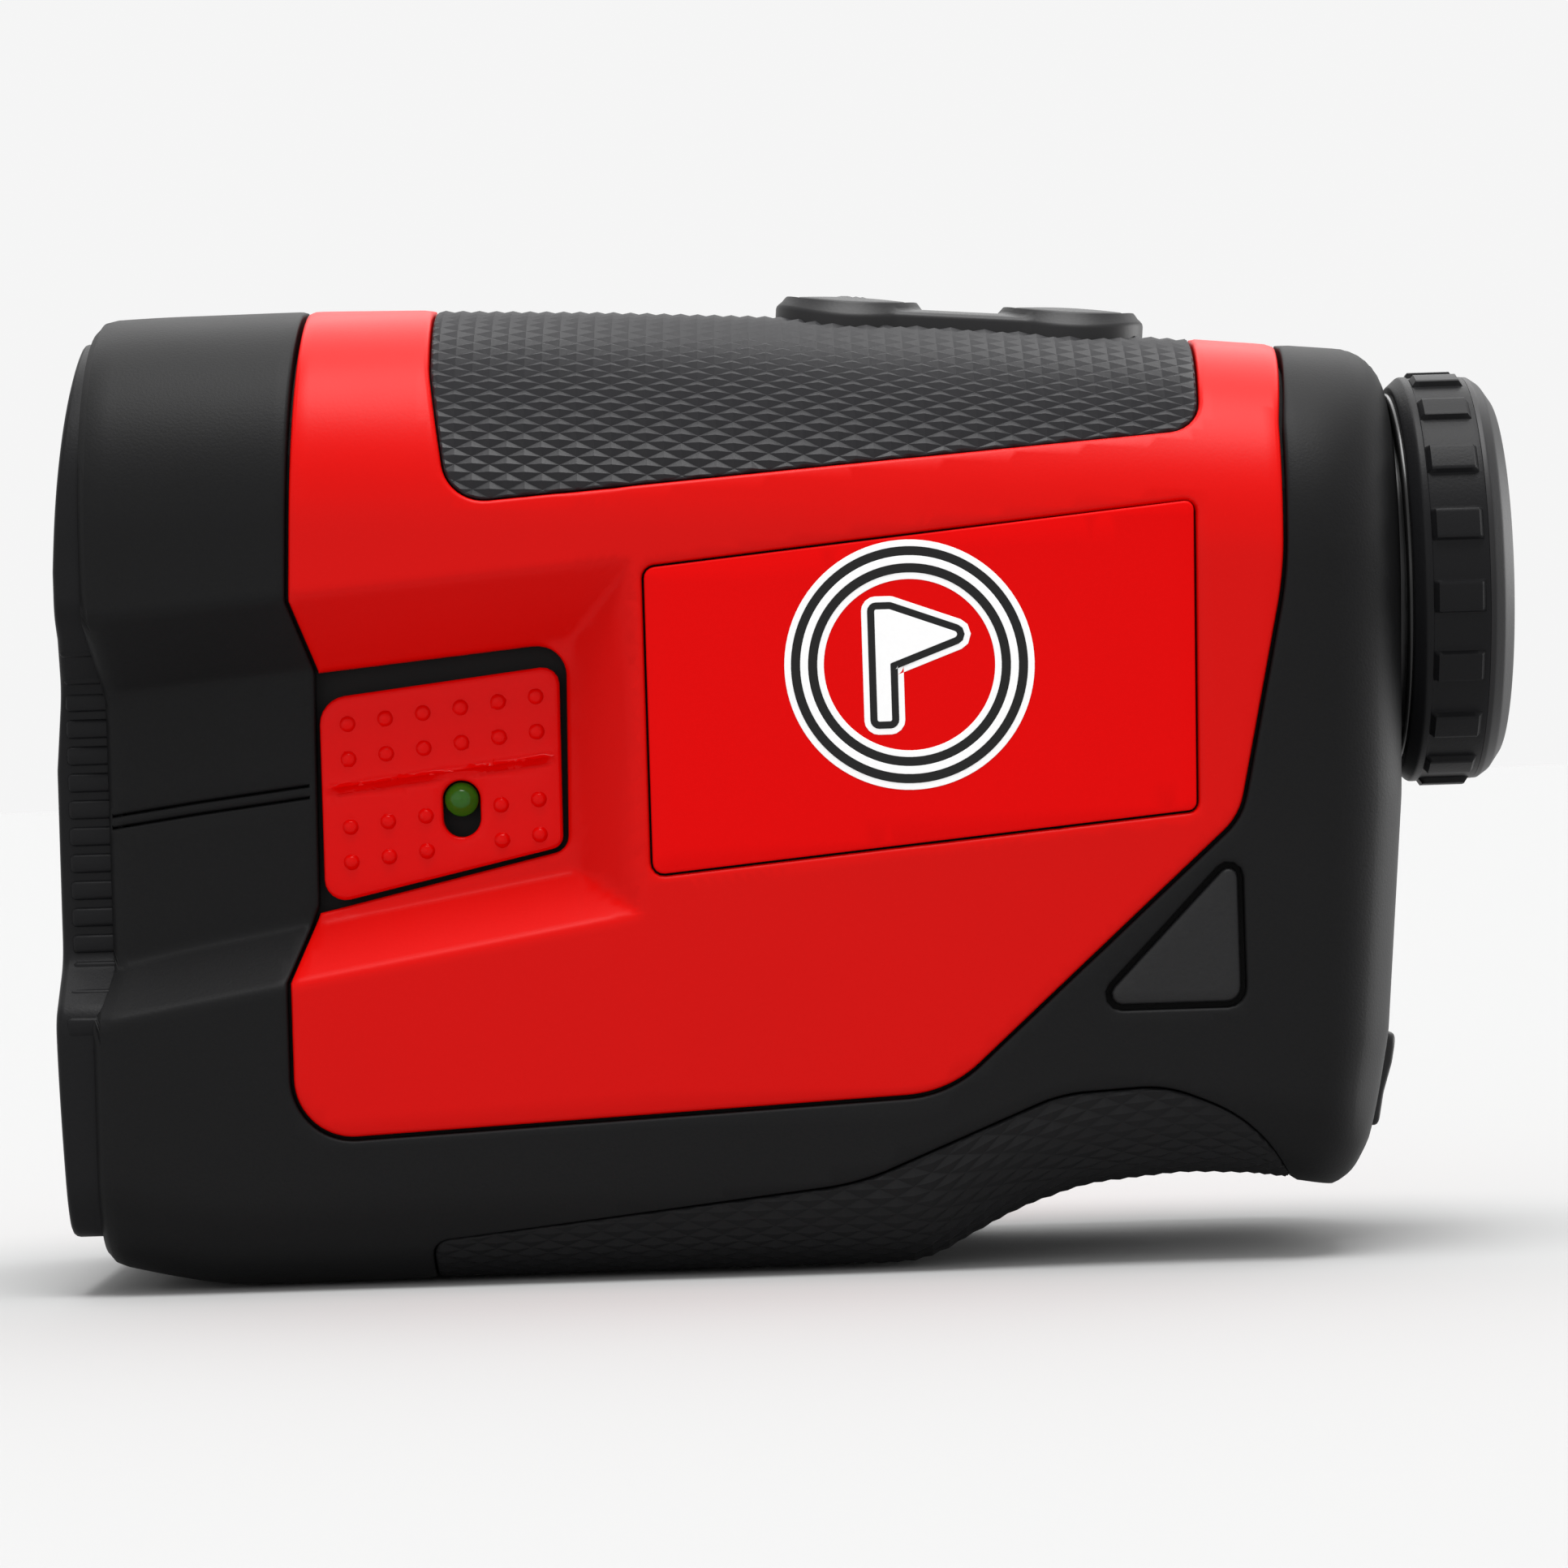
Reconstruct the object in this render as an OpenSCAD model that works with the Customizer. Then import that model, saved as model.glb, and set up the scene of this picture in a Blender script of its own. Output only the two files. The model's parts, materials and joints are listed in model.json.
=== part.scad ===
// Handheld laser rangefinder with a slope switch.
// Millimetres. +X runs from the objective to the eyepiece, +Z is up, and -Y is the side with the
// slope slider. The origin is on the surface that the base stands on, midway along the length.

/* [Envelope] */
// Height of the body above its base
body_h = 76; // [75:0.5:78]
// Half of the body's width
half_w = 20.5; // [20.5:0.25:22]
// Height of the optical axis above the base
optic_z = 52; // [51.5:0.25:52.5]
// Height of the laser emitter's axis above the base
emitter_z = 17.5; // [17:0.25:18]

/* [Walls] */
// Thickness of the outer skins: armour, covers and grips
skin_t = 1.6; // [1.5:0.05:1.7]
// Thickness of the chassis wall behind the skins
chassis_t = 1.7; // [1.5:0.1:1.9]
// Clearance between a skin and the chassis
gap = 0.1; // [0.05:0.05:0.15]
// Width of the parting groove between a cover and the armour
groove = 0.3; // [0.2:0.05:0.4]

/* [Side channel] */
// Depth of the channel along each side
channel_d = 5; // [4.5:0.25:5.5]
// Travel of the slope slider
slide_travel = 1.45; // [1:0.05:1.45]

/* [Eyepiece] */
// Radius over the ribs of the focus ring
ring_rib_r = 16.7; // [16.5:0.1:17]
// Radius of the focus ring between its ribs
ring_r = 16.1; // [15.9:0.1:16.3]
// Number of ribs around the focus ring
ring_ribs = 18; // [12:1:24]
// Angle of the first rib in degrees
rib_phase = 7; // [0:1:20]

/* [Buttons] */
// Radius of a key
key_r = 4.6; // [4.2:0.1:4.8]
// Distance between the two keys
key_pitch = 17.3; // [16.5:0.1:18]
// Travel of a key
key_travel = 0.5; // [0.3:0.1:0.5]

/* [Hidden] */
$fn = 48;
eps = 0.01;
front_x = -56;
collar_x = -54;
rear_end = 47.6;
chassis_out = skin_t + gap;
chassis_in = chassis_out + chassis_t;
top_r = 18;
base_r = 7;
rear_corner_r = 8;
rear_top_r = 3.5;
wall_step = 0.4;
arc_steps = 9;
base_steps = 4;

// Height of the top line and of the base line at each X
top_line = [[-54, 75.7], [-50, 75.9], [-37, 76], [-27, 75.8], [-14, 75.3], [0, 74.5], [14, 73.4],
    [28, 72.1], [39, 71], [47.6, 70.2]] * [[1, 0], [0, body_h / 76]];
base_line = [[-54, 2], [-50, 1], [-46, 0.2], [-44, 0], [8, 0], [10, 0.5], [12, 1.7], [16.5, 4],
    [21.5, 5.6], [29, 6.3], [35, 6], [41, 5.4], [45.5, 4.9], [47.6, 4.7]];
// Heights of the channel's four edges at each X, from the lowest to the highest
edge_1 = [[-54, 20.6], [-12, 27.7], [20, 26], [48, 22]];
edge_2 = [[-54, 24.9], [-17, 31.2], [-12, 27.9], [20, 32], [48, 28]];
edge_3 = [[-54, 45.5], [-17, 48.7], [-12, 54.4], [20, 44], [48, 36]];
edge_4 = [[-54, 51.3], [-12, 54.6], [20, 50], [48, 42]];
channel_line = [[-54, 1], [-17, 1], [-12, 0], [48, 0]];
// X of the rear face at each height
rear_line = [[4.7, 41.9], [5.9, 43.3], [8.4, 43.9], [16.6, 45.3], [35, 46.9], [52, 47.4], [62, 47.6], [76, 47.6]];
// How far the collar's front edge is cut back at each height
cut_line = [[20.6, 0], [24.9, 1.7], [45.5, 1.7], [51.3, 0]];
stations = [-54, -53.7, -53, -50, -46, -44, -38, -27, -17, -12, -6, 0, 8, 10, 12, 16.5, 21.5, 29, 35,
    39.6, 41, 43, 44.2, 45.5, 46.5, 47.2, 47.6];

// Outlines in the XZ plane: [x, z, corner radius]
cover_outline = [[-37.1, 80, 0], [-37.2, 75, 0], [-38, 52.3, 0], [-36.3, 47, 0], [-36.5, 29, 0],
    [-38.7, 23.3, 0], [-38.7, 11.3, 4.5], [11, 13.5, 9], [33.7, 33.8, 5], [37.6, 52, 30], [38, 64, 12],
    [39.2, 72, 0], [39.2, 80, 0]];
notch_outline = [[-44, 46.2, 0], [-17.2, 48.7, 2.3], [-17.5, 32.75, 1.3], [-44, 26.8, 0]];
slider_outline = [[-36.3, 44.85, 2.2], [-17.8, 46.95, 1.3], [-17.9, 33, 1], [-36.3, 29, 1.6]];
badge_outline = [[-11, 54, 0.9], [31, 57.9, 0.7], [30.5, 34.3, 0.7], [-11, 30.6, 0.9]];
trim_outline = [[22.2, 19.6, 0.9], [33.5, 19.6, 1.2], [33.5, 31.1, 0.8]];
top_grip_outline = [[-27.4, 80, 0], [-27, 70, 10], [-25.6, 59.4, 3.2], [31.7, 63.6, 2.6], [32.3, 71, 8],
    [33.6, 80, 0]];
bottom_grip_outline = [[-28.5, -2, 0], [-28.5, 3.1, 1.2], [4, 6.7, 20], [19.5, 13, 12], [27.5, 13.4, 9],
    [34, 10.6, 12], [37.6, 5, 0], [37.6, -2, 0]];

// ---- Outlines ----

function unit(v) = v / norm(v);

// Points of the arc that rounds the corner p between its neighbours a and b
function corner_arc(a, p, b, r, n = 6) =
    let (u = unit(a - p), v = unit(b - p), half = acos(u * v) / 2)
    let (c = p + unit(u + v) * r / sin(half), s = p + u * r / tan(half), e = p + v * r / tan(half))
    let (from = atan2(s.y - c.y, s.x - c.x), to = atan2(e.y - c.y, e.x - c.x))
    let (turn = (to - from + 540) % 360 - 180)
    [for (k = [0:n]) c + r * [cos(from + turn * k / n), sin(from + turn * k / n)]];

function rounded(pts) = let (n = len(pts), flat = [for (p = pts) [p.x, p.y]])
    [for (i = [0:n - 1]) each pts[i].z > 0
        ? corner_arc(flat[(i + n - 1) % n], flat[i], flat[(i + 1) % n], pts[i].z)
        : [flat[i]]];

// An XZ outline as a prism from y0 to y1, grown by delta
module side_prism(pts, y0, y1, delta = 0) {
    translate([0, y1, 0]) rotate([90, 0, 0]) linear_extrude(y1 - y0)
        if (delta == 0) polygon(rounded(pts));
        else offset(delta = delta) polygon(rounded(pts));
}

// ---- The body's shape ----

function round_off(r, into) = into <= 0 ? 0 : r - sqrt(max(0, r * r - into * into));

// Half of the cross-section at X, from the middle of the base up to the middle of the top, as [y, z]
function half_section(x, inset) =
    let (w = half_w - round_off(rear_corner_r, x - rear_end + rear_corner_r) - inset)
    let (wc = w - channel_d * lookup(x, channel_line), rb = base_r - inset, rt = top_r - inset)
    let (zb = lookup(x, base_line) + inset)
    let (zt = lookup(x, top_line) - round_off(rear_top_r, x - rear_end + rear_top_r) - inset)
    concat([[0, zb]],
        [for (a = [0:90 / base_steps:90]) [w - rb + rb * sin(a), zb + rb - rb * cos(a)]],
        [[w, lookup(x, edge_1)], [wc, lookup(x, edge_2)], [wc, lookup(x, edge_3)], [w, lookup(x, edge_4)]],
        [for (a = [0:90 / arc_steps:90]) [w * cos(a), zt - rt + rt * sin(a)]]);

// The collar's front edge is cut back along the channel, and the rear face leans
function sheared(x, z) = x + lookup(z, cut_line) * max(0, min(1, (-46 - x) / 8))
    + (lookup(z, rear_line) - rear_end) * max(0, min(1, (x - 34) / (rear_end - 34)));

// A path across the body: one half, or over the top, or under the base, from side to side
function path(x, inset, way) =
    let (h = half_section(x, inset), n = len(h), mid = 8)
    way == "half" ? [for (p = h) [-p.x, p.y]]
    : way == "over" ? concat([for (i = [mid:n - 1]) [-h[i].x, h[i].y]], [for (i = [n - 2:-1:mid]) h[i]])
    : concat([for (i = [mid:-1:0]) h[i]], [for (i = [1:mid]) [-h[i].x, h[i].y]]);

// The middle plane's points behind each point of a path, which close the body at its rear wall
function wall_path(x, inset) = let (p = path(x, inset, "half"), n = len(p), lo = p[0].y, hi = p[n - 1].y)
    [for (i = [0:n - 1]) [0, lo + (hi - lo) * (0.02 + 0.96 * i / (n - 1))]];

function front_round(x) = round_off(1, -53 - x);

// A skin from x0 to x1 between two insets. wall closes it at the rear with a wall of that thickness
module skin(way, x0, x1, outer, inner, wall = 0) {
    wall_x = x1 - wall;
    inside = [for (s = stations) if (s > x0 + 0.2 && s < wall_x - 0.2) s];
    behind = [for (s = stations) if (wall > 0 && s > wall_x + wall_step + 0.1 && s < x1 - 0.1) s];
    xs = concat([x0], inside, wall > 0 ? [wall_x, wall_x + wall_step] : [], behind, [x1]);
    lofted([for (x = xs) let (
            out = path(x, outer + (outer < 1 ? front_round(x) : 0), way),
            in = wall > 0 && x > wall_x + eps ? wall_path(x, outer) : path(x, inner, way))
        [for (p = concat(out, [for (i = [len(in) - 1:-1:0]) in[i]])) [sheared(x, p.y), p.x, p.y]]]);
}

// A solid through C-shaped loops, each an outer path followed by its inner path backwards
module lofted(loops) {
    k = len(loops);
    j = len(loops[0]);
    sides = [for (a = [0:k - 2], b = [0:j - 1]) let (c = (b + 1) % j, p = a * j, q = (a + 1) * j)
        each [[p + b, p + c, q + c], [p + b, q + c, q + b]]];
    // The diagonals of the cap lean away from the middle plane at both ends of the path
    cap = [for (i = [0:j / 2 - 2]) let (c = j - 1 - i) each i < j / 4
        ? [[i, c, i + 1], [c, c - 1, i + 1]]
        : [[i, c, c - 1], [i, c - 1, i + 1]]];
    last = (k - 1) * j;
    polyhedron([for (l = loops) each l],
        concat(sides, cap, [for (f = cap) [for (i = [2:-1:0]) f[i] + last]]));
}

module mirrored_y() { mirror([0, 1, 0]) children(); }

// A cylinder along X
module rod(r, x0, x1, z = optic_z, y = 0) { translate([x0, y, z]) rotate([0, 90, 0]) cylinder(r = r, h = x1 - x0); }

// A tube along X
module tube(r, bore, x0, x1, z = optic_z) {
    difference() { rod(r, x0, x1, z); rod(bore, x0 - 1, x1 + 1, z); }
}

// A solid of revolution about an X axis, from [radius, x] points
module turned(pts, z = optic_z) {
    translate([0, 0, z]) rotate([0, 90, 0]) rotate_extrude() polygon(pts);
}

// A box from one corner to the other
module block(a, b) { translate(a) cube(b - a); }

// ---- Chassis, armour, covers and grips ----

boss_at = [[-44, 32.5], [31, 31], [-20, 7.6], [30, 14.6], [-20, 68.4]];
boss_r = 2.3;
boss_half = [13, 18, 17.8, 17.8, 10.8];

// Turned by 30 degrees to keep the cylinder's seam off the parting plane
module eyepiece_hole() {
    translate([40, 0, optic_z]) rotate([30, 0, 0]) rotate([0, 90, 0]) cylinder(r = 14.6, h = 10);
}

module chassis_half() {
    difference() {
        union() {
            skin("half", -53, 45.9, chassis_out, chassis_in, chassis_t);
            for (i = [0:len(boss_at) - 1])
                translate([boss_at[i].x, -gap / 2, boss_at[i].y]) rotate([90, 0, 0])
                    cylinder(r = boss_r, h = boss_half[i]);
        }
        eyepiece_hole();
        pad_opening(0.25);
        rear_frame() block([-6, -4.9, -2.1], [2, 4.9, 2.1]);
    }
}

module left_chassis() color("dimgray") difference() {
    chassis_half();
    for (b = boss_at) translate([b.x, 1, b.y]) rotate([90, 0, 0]) cylinder(r = 0.85, h = 9);
    // Slot for the slope slider's stem, and the seat of its indicator
    side_prism([[-31.6, 35.2, 0], [-28.4, 35.2, 0], [-28.4, 40.6, 0], [-31.6, 40.6, 0]], -16, -10);
    translate([-25.6, -10, 36.85]) rotate([90, 0, 0]) cylinder(r = 1.1, h = 6);
}

module right_chassis() color("dimgray") difference() {
    mirrored_y() chassis_half();
    for (b = boss_at) translate([b.x, 30, b.y]) rotate([90, 0, 0]) cylinder(r = 1.15, h = 40);
    for (i = [0:len(boss_at) - 1])
        translate([boss_at[i].x, 30, boss_at[i].y]) rotate([90, 0, 0]) cylinder(r = 2.1, h = 30 - boss_half[i] + 3);
}

module armour_half() {
    difference() {
        skin("half", collar_x, rear_end, 0, skin_t, skin_t);
        side_prism(cover_outline, -30, 1, groove);
        side_prism(bottom_grip_outline, -30, 1, 0.15);
        side_prism(trim_outline, -30, -half_w + 1.2, groove);
        eyepiece_hole();
        rear_frame() block([-6, -4.9, -2.1], [2, 4.9, 2.1]);
        rear_frame() block([-0.9, -6.5, -5.4], [3, 6.5, 4]);
    }
}

module left_armour() color("#1e1e20") difference() {
    armour_half();
    // Twin grooves that carry the slider's crease line to the collar's edge
    for (dz = [-0.45, 0.45])
        side_prism([[-55, 35.55 + dz, 0], [-36, 37.7 + dz, 0], [-36, 38 + dz, 0], [-55, 35.85 + dz, 0]],
            -16, -half_w + channel_d + 0.35);
}

module right_armour() color("#1e1e20") mirrored_y() armour_half();

module cover_half(notched) {
    difference() {
        intersection() {
            skin("half", -41, 42, 0, skin_t - gap);
            side_prism(cover_outline, -30, 0);
        }
        block([-60, -eps * 5, -1], [60, 1, 90]);
        side_prism(top_grip_outline, -30, 1, 0.15);
        side_prism(badge_outline, -30, -half_w + 1, 0.2);
        if (notched) side_prism(notch_outline, -30, 1);
    }
}

module left_cover() color("red") cover_half(true);

module right_cover() color("red") mirrored_y() cover_half(false);

module top_grip() color("#2a2a2d") difference() {
    intersection() {
        skin("over", -30, 36, 0.2, skin_t - gap);
        side_prism(top_grip_outline, -30, 30);
    }
    pad_opening(0.15);
}

module bottom_grip() color("#242427") intersection() {
    skin("under", -31, 40, 0, skin_t - gap);
    side_prism(bottom_grip_outline, -30, 30);
}

module trim(side) {
    side_prism(trim_outline, side * (half_w - 0.4) - 0.4, side * (half_w - 0.4) + 0.4, -0.05);
}

module left_trim() color("#161618") trim(-1);

module right_trim() color("#161618") trim(1);

module badge() { side_prism(badge_outline, -half_w + 0.05, -half_w + 0.95, 0.02); }

module left_badge() color("red") difference() {
    badge();
    emblem(-half_w - 1, -half_w + 0.5, 0.03);
}

module right_badge() color("red") mirrored_y() badge();

// The emblem's solid from y0 to y1: a ring round a pennant on its pin, grown by grow
module emblem(y0, y1, grow = 0) translate([9, y1, 46]) rotate([90, 0, 0]) linear_extrude(y1 - y0) {
    difference() {
        circle(r = 9.2 + grow);
        circle(r = 7.2 - grow);
    }
    offset(delta = grow) polygon([[-2.6, -5], [-1.4, -5], [-1.4, 0], [4.6, 2.5], [-1.4, 5], [-2.6, 5]]);
}

// The emblem lies in a shallow pocket of the left badge
module badge_emblem() color("white") emblem(-half_w, -half_w + 0.45);

// ---- Front ----

function bezel_outline(inset) = let (h = half_section(-53.5, inset))
    concat([for (p = h) [-p.x, p.y]], [for (i = [len(h) - 2:-1:1]) h[i]]);

// A bezel cross-section extruded along X, clipped at the top and the base
module bezel_slab(inset, x0, x1, z0, z1) {
    intersection() {
        translate([x0, 0, 0]) rotate([90, 0, 90]) linear_extrude(x1 - x0) polygon(bezel_outline(inset));
        block([x0 - 1, -30, z0], [x1 + 1, 30, z1]);
    }
}

module front_bezel() color("#1a1a1b") difference() {
    union() {
        bezel_slab(1.2, front_x, collar_x - 0.05, 4, 73.5);
        bezel_slab(1.2, collar_x - 0.05, -52.5, 26, 44.4);
        bezel_slab(chassis_in + 0.2, collar_x - 0.05, -50.5, 0, 80);
        for (z = [27.4:2.07:43]) for (s = [-1, 1])
            translate([-55.4, s * (half_w - channel_d - 1.2) - 0.2, z]) cube([2.8, 0.4, 0.6]);
    }
    rod(14.5, -60, -52.85);
    rod(12.75, -60, -40);
    rod(9.5, -60, -52.85, emitter_z);
    rod(8.05, -60, -40, emitter_z);
}

module objective_ring() color("#202022")
    turned([[14.4, -52.9], [14.4, -55.4], [13.6, -55.4], [11.6, -53.4], [11.2, -52.9]]);

// A lens of radius r whose faces bulge by the given amounts at the ends x0 and x1
module lens(r, x0, x1, bulge0, bulge1, z = optic_z) {
    front = [for (k = [0:6]) [r * k / 6, x0 + bulge0 * pow(k / 6, 2)]];
    back = [for (k = [6:-1:0]) [r * k / 6, x1 - bulge1 * pow(k / 6, 2)]];
    turned(concat(front, back), z);
}

module objective_lens() color("lightblue") lens(11.95, -52.6, -49.7, 1, 0.6);

module objective_tube() color("#111112") difference() {
    tube(12.6, 11.4, -52.8, -20);
    rod(12, -53.5, -49.6);
}

module emitter_ring() color("#202022")
    turned([[9.4, -52.9], [9.4, -55.4], [8.7, -55.4], [6.9, -53.6], [6.5, -52.9]], emitter_z);

module emitter_lens() color("lightblue") lens(6.85, -52.6, -50.2, 0.6, 0.4, emitter_z);

module emitter_tube() color("#111112") difference() {
    tube(7.9, 6.5, -52.8, -33, emitter_z);
    rod(6.9, -53.5, -50.1, emitter_z);
}

module laser_diode() color("gold") { rod(2.8, -36, -32.5, emitter_z); rod(4.5, -32.5, -31.2, emitter_z); }

module emitter_board() color("darkgreen") block([-31.1, -9, 8.5], [-30.1, 9, 26.5]);

// ---- Optics behind the objective ----

module prism_frame() color("#18181a") difference() {
    block([-19.8, -11.5, 40.6], [14, 11.5, 63.4]);
    block([-18.4, -10.1, 42], [12.6, 10.1, 65]);
    rod(10, -25, 20);
    translate([-6, 0, 38]) cylinder(r = 4.3, h = 6);
}

module prism(pts) { side_prism([for (p = pts) [p.x, p.y, 0]], -9.8, 9.8); }

module half_penta_prism() color("lightcyan")
    prism([[-17, 43], [-17, 61.8], [-6.2, 61.8], [4.6, 51], [-3.4, 43]]);

module roof_prism() color("lightcyan")
    prism([[-2.6, 43], [5.4, 51], [-5.4, 61.8], [11, 61.8], [11, 43]]);

module photodiode() color("silver") {
    translate([-6, 0, 36.2]) cylinder(r = 4.1, h = 4.2);
    translate([-6, 0, 40.4]) cylinder(r = 2, h = 1);
}

module receiver_board() color("darkgreen") block([-16, -8, 35], [4, 8, 36.1]);

module display_frame() color("#18181a") difference() {
    block([22.4, -11.5, 41], [27, 11.5, 63.4]);
    rod(8.2, 20, 30);
    block([23.6, -10.2, 43.4], [25.2, 10.2, 65]);
}

module display_glass() color("lightcyan") block([23.7, -10, 43.5], [25.1, 10, 62.6]);

// ---- Eyepiece ----

module eyepiece_sleeve() color("#2b2b2d") difference() {
    union() {
        rod(13.2, 30, 49.9);
        rod(14.95, 41.4, 43.2);
        rod(14.3, 43.2, 46.9);
    }
    rod(11.45, 29, 52);
    block([29, -1.1, 37], [40, 1.1, 42]);
}

module eyepiece_seal() color("#050505") turned([[13.3, 47.7], [14.6, 47.7], [14.9, 47.9], [14.9, 48.15],
    [14.6, 48.35], [13.3, 48.35]]);

module ocular_cell() color("#101011") {
    difference() {
        union() { rod(11.4, 32, 51.05); rod(12.95, 51, 53); block([34, -1, 39.6], [37.5, 1, 41]); }
        rod(10.2, 31, 54);
    }
}

module field_lens() color("lightblue") lens(10.1, 33.5, 37.5, 0.3, 1.2);

module eye_lens() color("lightblue") lens(10.1, 47.8, 51.6, 1.1, 0.5);

module lens_lock_ring() color("#101011") turned([[10.1, 51.3], [10.1, 52.8], [9.6, 52.8], [8.6, 51.6], [8.6, 51.3]]);

module focus_ring() color("#1c1c1d") {
    difference() {
        union() {
            turned([[12.2, 48.1], [15.55, 48.1], [15.75, 48.3], [15.75, 48.9], [ring_r, 48.9],
                [ring_r, 53.9], [12.2, 53.9]]);
            for (i = [0:ring_ribs - 1]) translate([0, 0, optic_z]) rotate([rib_phase + i * 360 / ring_ribs, 0, 0])
                block([48.9, -ring_rib_r, -1.3], [52.3, -ring_r + 0.6, 1.3]);
        }
        rod(15.1, 47, 49.2);
        rod(13.3, 47, 51);
        rod(13, 50.5, 53.1);
        difference() { rod(15.1, 52.85, 55); rod(13.9, 52, 56); }
    }
}

module cell_clip() color("silver") difference() { tube(13.25, 11.9, 50.72, 50.95); block([50, -1.5, 36], [52, 1.5, 42]); }

module eyecup() color("#1b1b1c") turned([[12.4, 53.95], [14, 53.95], [14, 52.95], [15, 52.95], [15, 53.95],
    [ring_r, 53.95], [ring_r, 54.4], [15.8, 55.2], [15.1, 55.8], [14.4, 56], [13.6, 56], [12.9, 55.6], [12.4, 54.8]]);

// ---- Buttons ----

// The frame on top of the body in which the buttons are set out
module top_frame() { translate([14.3, 0, 73.4]) rotate([0, 4.6, 0]) children(); }

module dog_bone(grow = 0) {
    for (s = [-1, 1]) translate([s * key_pitch / 2, 0]) circle(r = 6 + grow);
    square([key_pitch, 2 * (4 + grow)], center = true);
}

module pad_opening(clearance) { top_frame() translate([0, 0, -9]) linear_extrude(14) dog_bone(clearance); }

module at_keys() { for (s = [-1, 1]) translate([s * key_pitch / 2, 0, 0]) children(); }

module button_pad() color("#26262a") top_frame() difference() {
    union() {
        translate([0, 0, -2]) linear_extrude(2.9) dog_bone();
        at_keys() cylinder(r = 5.3, h = 1.15);
    }
    at_keys() translate([0, 0, -5]) cylinder(r = key_r + 0.15, h = 10);
}

module key(s) {
    top_frame() translate([s * key_pitch / 2, 0, 0]) {
        translate([0, 0, -2.3]) cylinder(r = key_r, h = 3.8);
        translate([0, 0, -3]) cylinder(r = 5.2, h = 0.75);
    }
}

module power_button() color("#26262a") key(-1);

module mode_button() color("#26262a") key(1);

module button_board() color("darkgreen") top_frame() block([-15, -5.5, -8.2], [15, 5.5, -7.2]);

module tact_switches() color("silver") top_frame() at_keys() {
    block([-3, -3, -7.15], [3, 3, -4.2]);
    translate([0, 0, -4.2]) cylinder(r = 1.7, h = 0.6);
}

// ---- Slope slider ----

slot_x = -25.6;
slot_z = 36.85;

module slope_slider() color("red") difference() {
    union() {
        difference() {
            side_prism(slider_outline, -half_w + channel_d - 0.25, -half_w + channel_d + 1.15);
            // The crease across the plate
            side_prism([[-40, 37.5, 0], [-15, 40.4, 0], [-15, 40.7, 0], [-40, 37.8, 0]], -17, -half_w + channel_d - 0.05);
        }
        side_prism([[-31.2, 36.9, 0], [-28.8, 36.9, 0], [-28.8, 38.7, 0], [-31.2, 38.7, 0]], -15, -10.9);
    }
    hull() for (dz = [0, -slide_travel]) translate([slot_x, -10, slot_z + dz])
        rotate([90, 0, 0]) cylinder(r = 1.45, h = 8);
}

module slope_indicator() color("limegreen") translate([slot_x, 0, slot_z]) rotate([90, 0, 0]) {
    translate([0, 0, 11.8]) cylinder(r = 1.05, h = 2.2);
    translate([0, 0, 13.9]) cylinder(r = 1.35, h = 1);
    translate([0, 0, 14.9]) intersection() { sphere(r = 1.35); cylinder(r = 2, h = 2); }
}

module slope_board() color("darkgreen") block([-35, -9.2, 31], [-20.3, -8.2, 42]);

module slope_switch() color("silver") difference() {
    block([-33, -11, 35], [-27, -9.25, 40.5]);
    block([-31.4, -12, 36.2], [-28.6, -9.7, 40.2]);
}

module switch_lever() color("#101010") block([-31, -10.8, 36.8], [-29, -9.8, 38.6]);

// ---- Power and boards ----

module main_board() color("darkgreen") block([-36, 9.4, 14], [27.3, 10.6, 39.5]);

module board_chips() color("#151515") {
    block([-30, 8, 27], [-20, 9.35, 37]);
    block([-12, 8.6, 29], [-5, 9.35, 36]);
    block([6, 8.4, 29], [14, 9.35, 35]);
    block([-27, 10.65, 30], [-20, 11.6, 36]);
    block([12, 10.65, 16], [20, 12.2, 22]);
}

module battery_cell() color("steelblue") { rod(8, -12, 21, 20.5); rod(3, 21, 22.2, 20.5); }

module battery_tray() color("#18181a") difference() {
    block([-13.4, -9.3, 10], [23.6, 9.3, 20]);
    rod(8.1, -12.1, 22.3, 20.5);
}

// The frame on the rear face in which the charging port and its flap are set out
module rear_frame() { translate([44.63, 0, 12.7]) rotate([0, 10.4, 0]) children(); }

module usb_shell(w, h) { for (s = [-1, 1]) translate([0, s * (w - h) / 2, 0]) rotate([0, 90, 0]) children(); }

module usb_connector() color("silver") rear_frame() difference() {
    hull() for (s = [-1, 1]) translate([-9.5, s * 2.85, 0]) rotate([0, 90, 0]) cylinder(r = 1.62, h = 7.3);
    hull() for (s = [-1, 1]) translate([-8.5, s * 2.85, 0]) rotate([0, 90, 0]) cylinder(r = 1.3, h = 8);
}

module usb_board() color("darkgreen") rear_frame() block([-11.5, -6, -2.9], [-3, 6, -1.9]);

flap_x = 0.45;
flap_z = -3.75;

module usb_flap() color("#141416") rear_frame() {
    block([-0.7, -6.2, -3.7], [0.9, 6.2, 3.8]);
    block([-2, -4.2, -1.3], [-0.65, 4.2, 1.3]);
}

module flap_strap() color("#141416") rear_frame() block([-0.8, -4, -5.3], [0.3, 4, -3.95]);

// ---- Fasteners and ribbons ----

module case_screws() color("silver") for (i = [0:len(boss_at) - 1])
    translate([boss_at[i].x, boss_half[i] - 2.9, boss_at[i].y]) rotate([90, 0, 0]) {
        translate([0, 0, -1.3]) cylinder(r = 1.9, h = 1.3);
        translate([0, 0, -eps]) cylinder(r = 0.8, h = boss_half[i] + 3.5);
    }

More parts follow.
